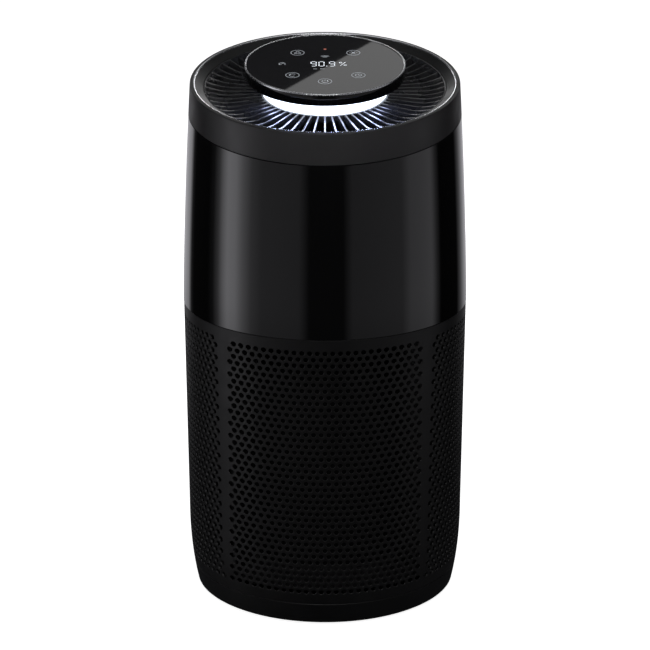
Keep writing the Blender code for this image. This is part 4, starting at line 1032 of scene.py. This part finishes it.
# --- Filter -----------------------------------------------------------------------------
def filter_pleats():
    """Folded paper whose outer and inner skin swing with the pleats."""
    low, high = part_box("filter_media")
    inner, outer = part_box("carbon_layer")[1].x + 0.0112, high.x
    inner_fold, outer_fold, lean = 0.004, 0.0062, 0.00016

    def fold(edge, depth, height):
        def point(angle):
            wave = 0.5 - 0.5 * math.cos(PLEATS * angle)
            return at(edge - depth * (1.0 - wave), height)(angle)
        return point

    outline = [fold(inner, inner_fold, low.z), fold(outer, outer_fold, low.z),
               fold(outer - lean, outer_fold, high.z), fold(inner, inner_fold, high.z)]
    turned("pleated_media", outline, "filter_paper", "filter", ["filter_media"], PLEATS * 8)


def prefilter():
    """Black fabric sleeve that follows the pleats under it a little, with a hem at each end."""
    low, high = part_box("prefilter_mesh")
    outer, inner = high.x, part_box("filter_media")[1].x + 0.0001

    def weave(height):
        def point(angle):
            return at(outer - 0.0006 - 0.0003 * math.cos(PLEATS / 2 * angle), height)(angle)
        return point

    outline = [at(inner, low.z), at(outer, low.z), at(outer, low.z + HEM), weave(low.z + HEM),
               weave(high.z - HEM), at(outer, high.z - HEM), at(outer, high.z), at(inner, high.z)]
    turned("prefilter_sleeve", outline, "mesh", "filter", ["prefilter_mesh"], PLEATS * 4)


def filter_caps():
    """Moulded end rings with rounded edges and a groove in the upper face."""
    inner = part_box("carbon_layer")[1].x - 0.0035
    groove = 0.0008
    for name in ("filter_cap_bottom", "filter_cap_top"):
        low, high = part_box(name)
        outer = high.x
        turned(name + "_ring", [at(radius, height) for radius, height in (
            (inner, low.z + 0.0005), (inner + 0.0005, low.z), (outer - 0.0012, low.z),
            (outer - 0.0003, low.z + 0.0004), (outer, low.z + 0.0012), (outer, high.z - 0.0012),
            (outer - 0.0003, high.z - 0.0004), (outer - 0.0012, high.z), (inner + 0.012, high.z),
            (inner + 0.0115, high.z - groove), (inner + 0.0035, high.z - groove),
            (inner + 0.003, high.z), (inner + 0.0005, high.z), (inner, high.z - 0.0005))],
            "inner_plastic", "filter", [name])


# --- Looks for the CAD pieces that stay -------------------------------------------------
KEPT = {
    "steel": ["base_screw", "motor_screw", "pod_screw", "door_magnet", "frame_magnet", "motor_shaft",
              "impeller_nut", "motor_rotor", "motor_housing", "motor_cap"],
    "bright_metal": ["bearing"],
    "copper": ["motor_winding"],
    "circuit_board": ["power_board", "control_board", "led_strip"],
    "lead": ["display_lead", "motor_lead"],
    "carbon": ["carbon_layer"],
    "foam": ["filter_gasket"],
    "impeller": ["impeller"],
    "inner_plastic": ["filter_tray", "power_transformer", "mains_inlet", "filter_pull_tab", "fan_deck",
                      "inlet_guard", "air_duct", "stator_mount", "motor_cover", "dust_sensor"],
}


def dress_kept_nodes():
    for look, names in KEPT.items():
        for node, obj in frame["nodes"].items():
            if any(node == name or node.startswith(name + "_") and name != "impeller" for name in names):
                obj.data.materials.clear()
                obj.data.materials.append(LOOKS[look])


# --- Stage ------------------------------------------------------------------------------
def light_material(name):
    """An emission-only material, and its tree, emission node and object coordinates."""
    made = bpy.data.materials.new(name)
    made.use_nodes = True
    tree = made.node_tree
    tree.nodes.clear()
    emission = tree.nodes.new("ShaderNodeEmission")
    output = tree.nodes.new("ShaderNodeOutputMaterial")
    tree.links.new(emission.outputs["Emission"], output.inputs["Surface"])
    place = tree.nodes.new("ShaderNodeTexCoord").outputs["Object"]
    return made, tree, emission, place


def calculate(tree, operation, first, second):
    node = tree.nodes.new("ShaderNodeMath")
    node.operation = operation
    for socket, value in ((0, first), (1, second)):
        if isinstance(value, (int, float)):
            node.inputs[socket].default_value = value
        else:
            tree.links.new(value, node.inputs[socket])
    return node.outputs["Value"]


def floor():
    """White paper with only a soft contact shadow; it neither lights nor shows in the object."""
    bpy.ops.mesh.primitive_plane_add(size=40.0, location=(0.0, 0.0, cad_low.z - 0.0002))
    plane = bpy.context.object
    plane.name = "floor"
    paper = bpy.data.materials.new("floor_paper")
    paper.use_nodes = True
    tree = paper.node_tree
    shader = tree.nodes["Principled BSDF"]
    shader.inputs["Base Color"].default_value = (0.88, 0.88, 0.88, 1.0)
    shader.inputs["Roughness"].default_value = 0.9
    shader.inputs["Specular IOR Level"].default_value = 0.1
    shader.inputs["Emission Color"].default_value = (1.0, 1.0, 1.0, 1.0)
    length = tree.nodes.new("ShaderNodeVectorMath")
    length.operation = "LENGTH"
    tree.links.new(tree.nodes.new("ShaderNodeTexCoord").outputs["Object"], length.inputs[0])
    tree.links.new(map_range(tree, length.outputs["Value"], 0.25, 0.9, FLOOR_GLOW, 1.05, "SMOOTHSTEP"),
                   shader.inputs["Emission Strength"])
    plane.data.materials.append(paper)
    plane.visible_glossy = False
    plane.visible_diffuse = False
    plane.visible_shadow = False


def world():
    """White to the eye and dim to the object, so that the tent does the lighting."""
    made = bpy.data.worlds.new("studio")
    bpy.context.scene.world = made
    made.use_nodes = True
    nodes, links = made.node_tree.nodes, made.node_tree.links
    background = nodes["Background"]
    path = nodes.new("ShaderNodeLightPath")
    mix = nodes.new("ShaderNodeMix")
    mix.data_type = "RGBA"
    mix.inputs[6].default_value = (*WORLD_DIM, 1.0)
    mix.inputs[7].default_value = (1.0, 1.0, 1.0, 1.0)
    links.new(path.outputs["Is Camera Ray"], mix.inputs[0])
    links.new(mix.outputs[2], background.inputs["Color"])


def hide_from_camera(made):
    made.visible_camera = False
    made.visible_shadow = False


def tent():
    """A round wall of light whose strength follows TENT round the object."""
    bm = bmesh.new()
    steps = 96
    rings = []
    for height in (-0.75, 0.95):
        rings.append([bm.verts.new(at(TENT_R, height)(math.tau * i / steps)) for i in range(steps)])
    for i in range(steps):
        j = (i + 1) % steps
        bm.faces.new([rings[0][j], rings[0][i], rings[1][i], rings[1][j]])
    mesh = mesh_from(bm, "light_tent", recalc=False)
    made = bpy.data.objects.new("light_tent", mesh)
    bpy.context.scene.collection.objects.link(made)
    material, tree, emission, place = light_material("light_tent")
    parts = tree.nodes.new("ShaderNodeSeparateXYZ")
    tree.links.new(place, parts.inputs["Vector"])
    front = calculate(tree, "MULTIPLY", parts.outputs["Y"], -1.0)
    turn = calculate(tree, "ARCTAN2", parts.outputs["X"], front)
    share = calculate(tree, "MULTIPLY_ADD", turn, 1.0 / math.tau)
    share.node.inputs[2].default_value = 0.5
    ramp = tree.nodes.new("ShaderNodeValToRGB")
    strongest = max(value for _, value in TENT)
    elements = ramp.color_ramp.elements      # starts with one at each end
    for azimuth, _ in TENT[1:-1]:
        elements.new(azimuth / 360.0 + 0.5)
    for spot, (_, value) in zip(elements, TENT):
        spot.color = (*(channel * value / strongest for channel in TENT_TINT), 1.0)
    tree.links.new(share, ramp.inputs["Fac"])
    tree.links.new(ramp.outputs["Color"], emission.inputs["Color"])
    rise = map_range(tree, parts.outputs["Z"], -0.50, 0.0, 0.05, strongest, "SMOOTHSTEP")
    fall = map_range(tree, parts.outputs["Z"], TENT_TOP - 0.05, TENT_TOP + 0.05, 1.0, 0.0, "SMOOTHSTEP")
    tree.links.new(calculate(tree, "MULTIPLY", rise, fall), emission.inputs["Strength"])
    mesh.materials.append(material)
    hide_from_camera(made)


def glass_card():
    """A card that the glass mirrors, with its edge slanting across the disc."""
    glass = Vector((0.0, 0.0, RIM_Z + GLASS_TOP))
    normal = Vector((0.0, -TOP_SLOPE, 1.0)).normalized()
    sight = (glass - CAMERA_PLACE).normalized()
    mirrored = sight - 2 * sight.dot(normal) * normal
    right = Vector((1.0, 0.0, 0.0))
    up = right.cross(mirrored).normalized()
    along = right * math.cos(CARD_LEAN) + up * math.sin(CARD_LEAN)
    beyond = up * math.cos(CARD_LEAN) - right * math.sin(CARD_LEAN)
    low = glass + mirrored * 2.0 + beyond * 0.006
    mesh = bpy.data.meshes.new("glass_card")
    reach, depth = along * 0.55, beyond * 0.6
    mesh.from_pydata([low - reach, low + reach, low + reach + depth, low - reach + depth], [], [(0, 1, 2, 3)])
    material, tree, emission, place = light_material("glass_card")
    clouds = tree.nodes.new("ShaderNodeTexNoise")
    clouds.inputs["Scale"].default_value = 1.5
    tree.links.new(place, clouds.inputs["Vector"])
    uneven = map_range(tree, clouds.outputs["Fac"], 0.3, 0.7, CARD_LIGHT * 0.9, CARD_LIGHT * 1.1,
                       "SMOOTHSTEP")
    tree.links.new(uneven, emission.inputs["Strength"])
    mesh.materials.append(material)
    made = bpy.data.objects.new("glass_card", mesh)
    bpy.context.scene.collection.objects.link(made)
    made.visible_diffuse = False
    hide_from_camera(made)


def softbox(name, place, aim, size, power, colour=(1.0, 1.0, 1.0), spread=180.0):
    data = bpy.data.lights.new(name, "AREA")
    data.shape = "RECTANGLE"
    data.size, data.size_y = size
    data.energy = power
    data.color = colour
    data.spread = math.radians(spread)
    lamp = bpy.data.objects.new(name, data)
    bpy.context.scene.collection.objects.link(lamp)
    lamp.location = place
    lamp.rotation_euler = (Vector(aim) - Vector(place)).to_track_quat("-Z", "Y").to_euler()
    lamp.visible_camera = False
    return lamp


CAMERA_PLACE = Vector((0.0, -2.86, 1.242))
CAMERA_AIM = Vector((0.0, 0.0, 0.3104))
CAMERA_LENS = 144.3

# Light of the tent by azimuth in degrees: 0 is the front, and right is positive.
TENT_R = 1.7
TENT_TOP = 0.92
TENT_TINT = (0.96, 0.95, 1.0)
TENT = ((-180, 0.62), (-150, 0.62), (-141, 0.62), (-134, 0.04), (-128, 0.008), (-105, 0.008), (-98, 0.05),
        (-92, 0.32), (-87, 1.05), (-82, 1.70), (-74, 1.62), (-67, 0.92), (-59, 0.42), (-50, 0.26),
        (-20, 0.22), (-12, 0.03), (14, 0.03), (21, 0.19), (62, 0.24), (70, 0.45), (92, 0.48),
        (98, 0.14), (103, 0.006), (130, 0.006), (138, 0.16), (146, 0.42), (158, 0.60), (180, 0.62))
WORLD_DIM = (0.030, 0.030, 0.032)
FLOOR_GLOW = 0.92
CARD_LEAN = math.radians(-29)
CARD_LIGHT = 0.55
RING_LIGHT = (0.50, 0.58, 1.0)


def lights():
    tent()
    glass_card()
    softbox("overhead", (0.0, 0.35, 2.4), (0.0, 0.0, 0.5), (1.6, 1.2), 4.0)
    softbox("back_card", (0.0, 1.65, 0.95), (0.0, 0.0, 0.60), (2.2, 0.36), 10.0)
    softbox("rim_fill", (0.0, -2.2, 0.95), (0.0, -0.15, 0.62), (1.4, 0.12), 0.35, spread=11.0)
    softbox("front_fill", (0.0, -2.1, 2.1), (0.0, 0.0, 0.40), (1.6, 1.0), 17.0)
    # What the ring of diodes throws forward over the vanes.
    for turn in (-38, 0, 38):
        way = math.radians(turn)
        place = Vector(top(LIGHT_R + 0.004, 0.0)(math.radians(270 + turn)))
        aim = place + Vector((math.sin(way), -math.cos(way), -0.85))
        softbox(f"ring_glow_{turn + 38}", place, aim, (0.040, 0.008), 0.032, RING_LIGHT)


def camera():
    data = bpy.data.cameras.new("camera")
    data.lens = CAMERA_LENS
    data.sensor_width = 36.0
    data.clip_end = 60.0
    made = bpy.data.objects.new("camera", data)
    bpy.context.scene.collection.objects.link(made)
    made.location = CAMERA_PLACE
    made.rotation_euler = (CAMERA_AIM - CAMERA_PLACE).to_track_quat("-Z", "Y").to_euler()
    bpy.context.scene.camera = made


camera()
world()
floor()
lights()
base()
feet()
lower_shell()
shade_screen_fins()
rear_panel()
upper_shell()
sensor_flap()
rim()
grille()
light()
pod()
symbols()
filter_pleats()
prefilter()
filter_caps()
dress_kept_nodes()
bpy.context.scene.view_settings.view_transform = "Standard"
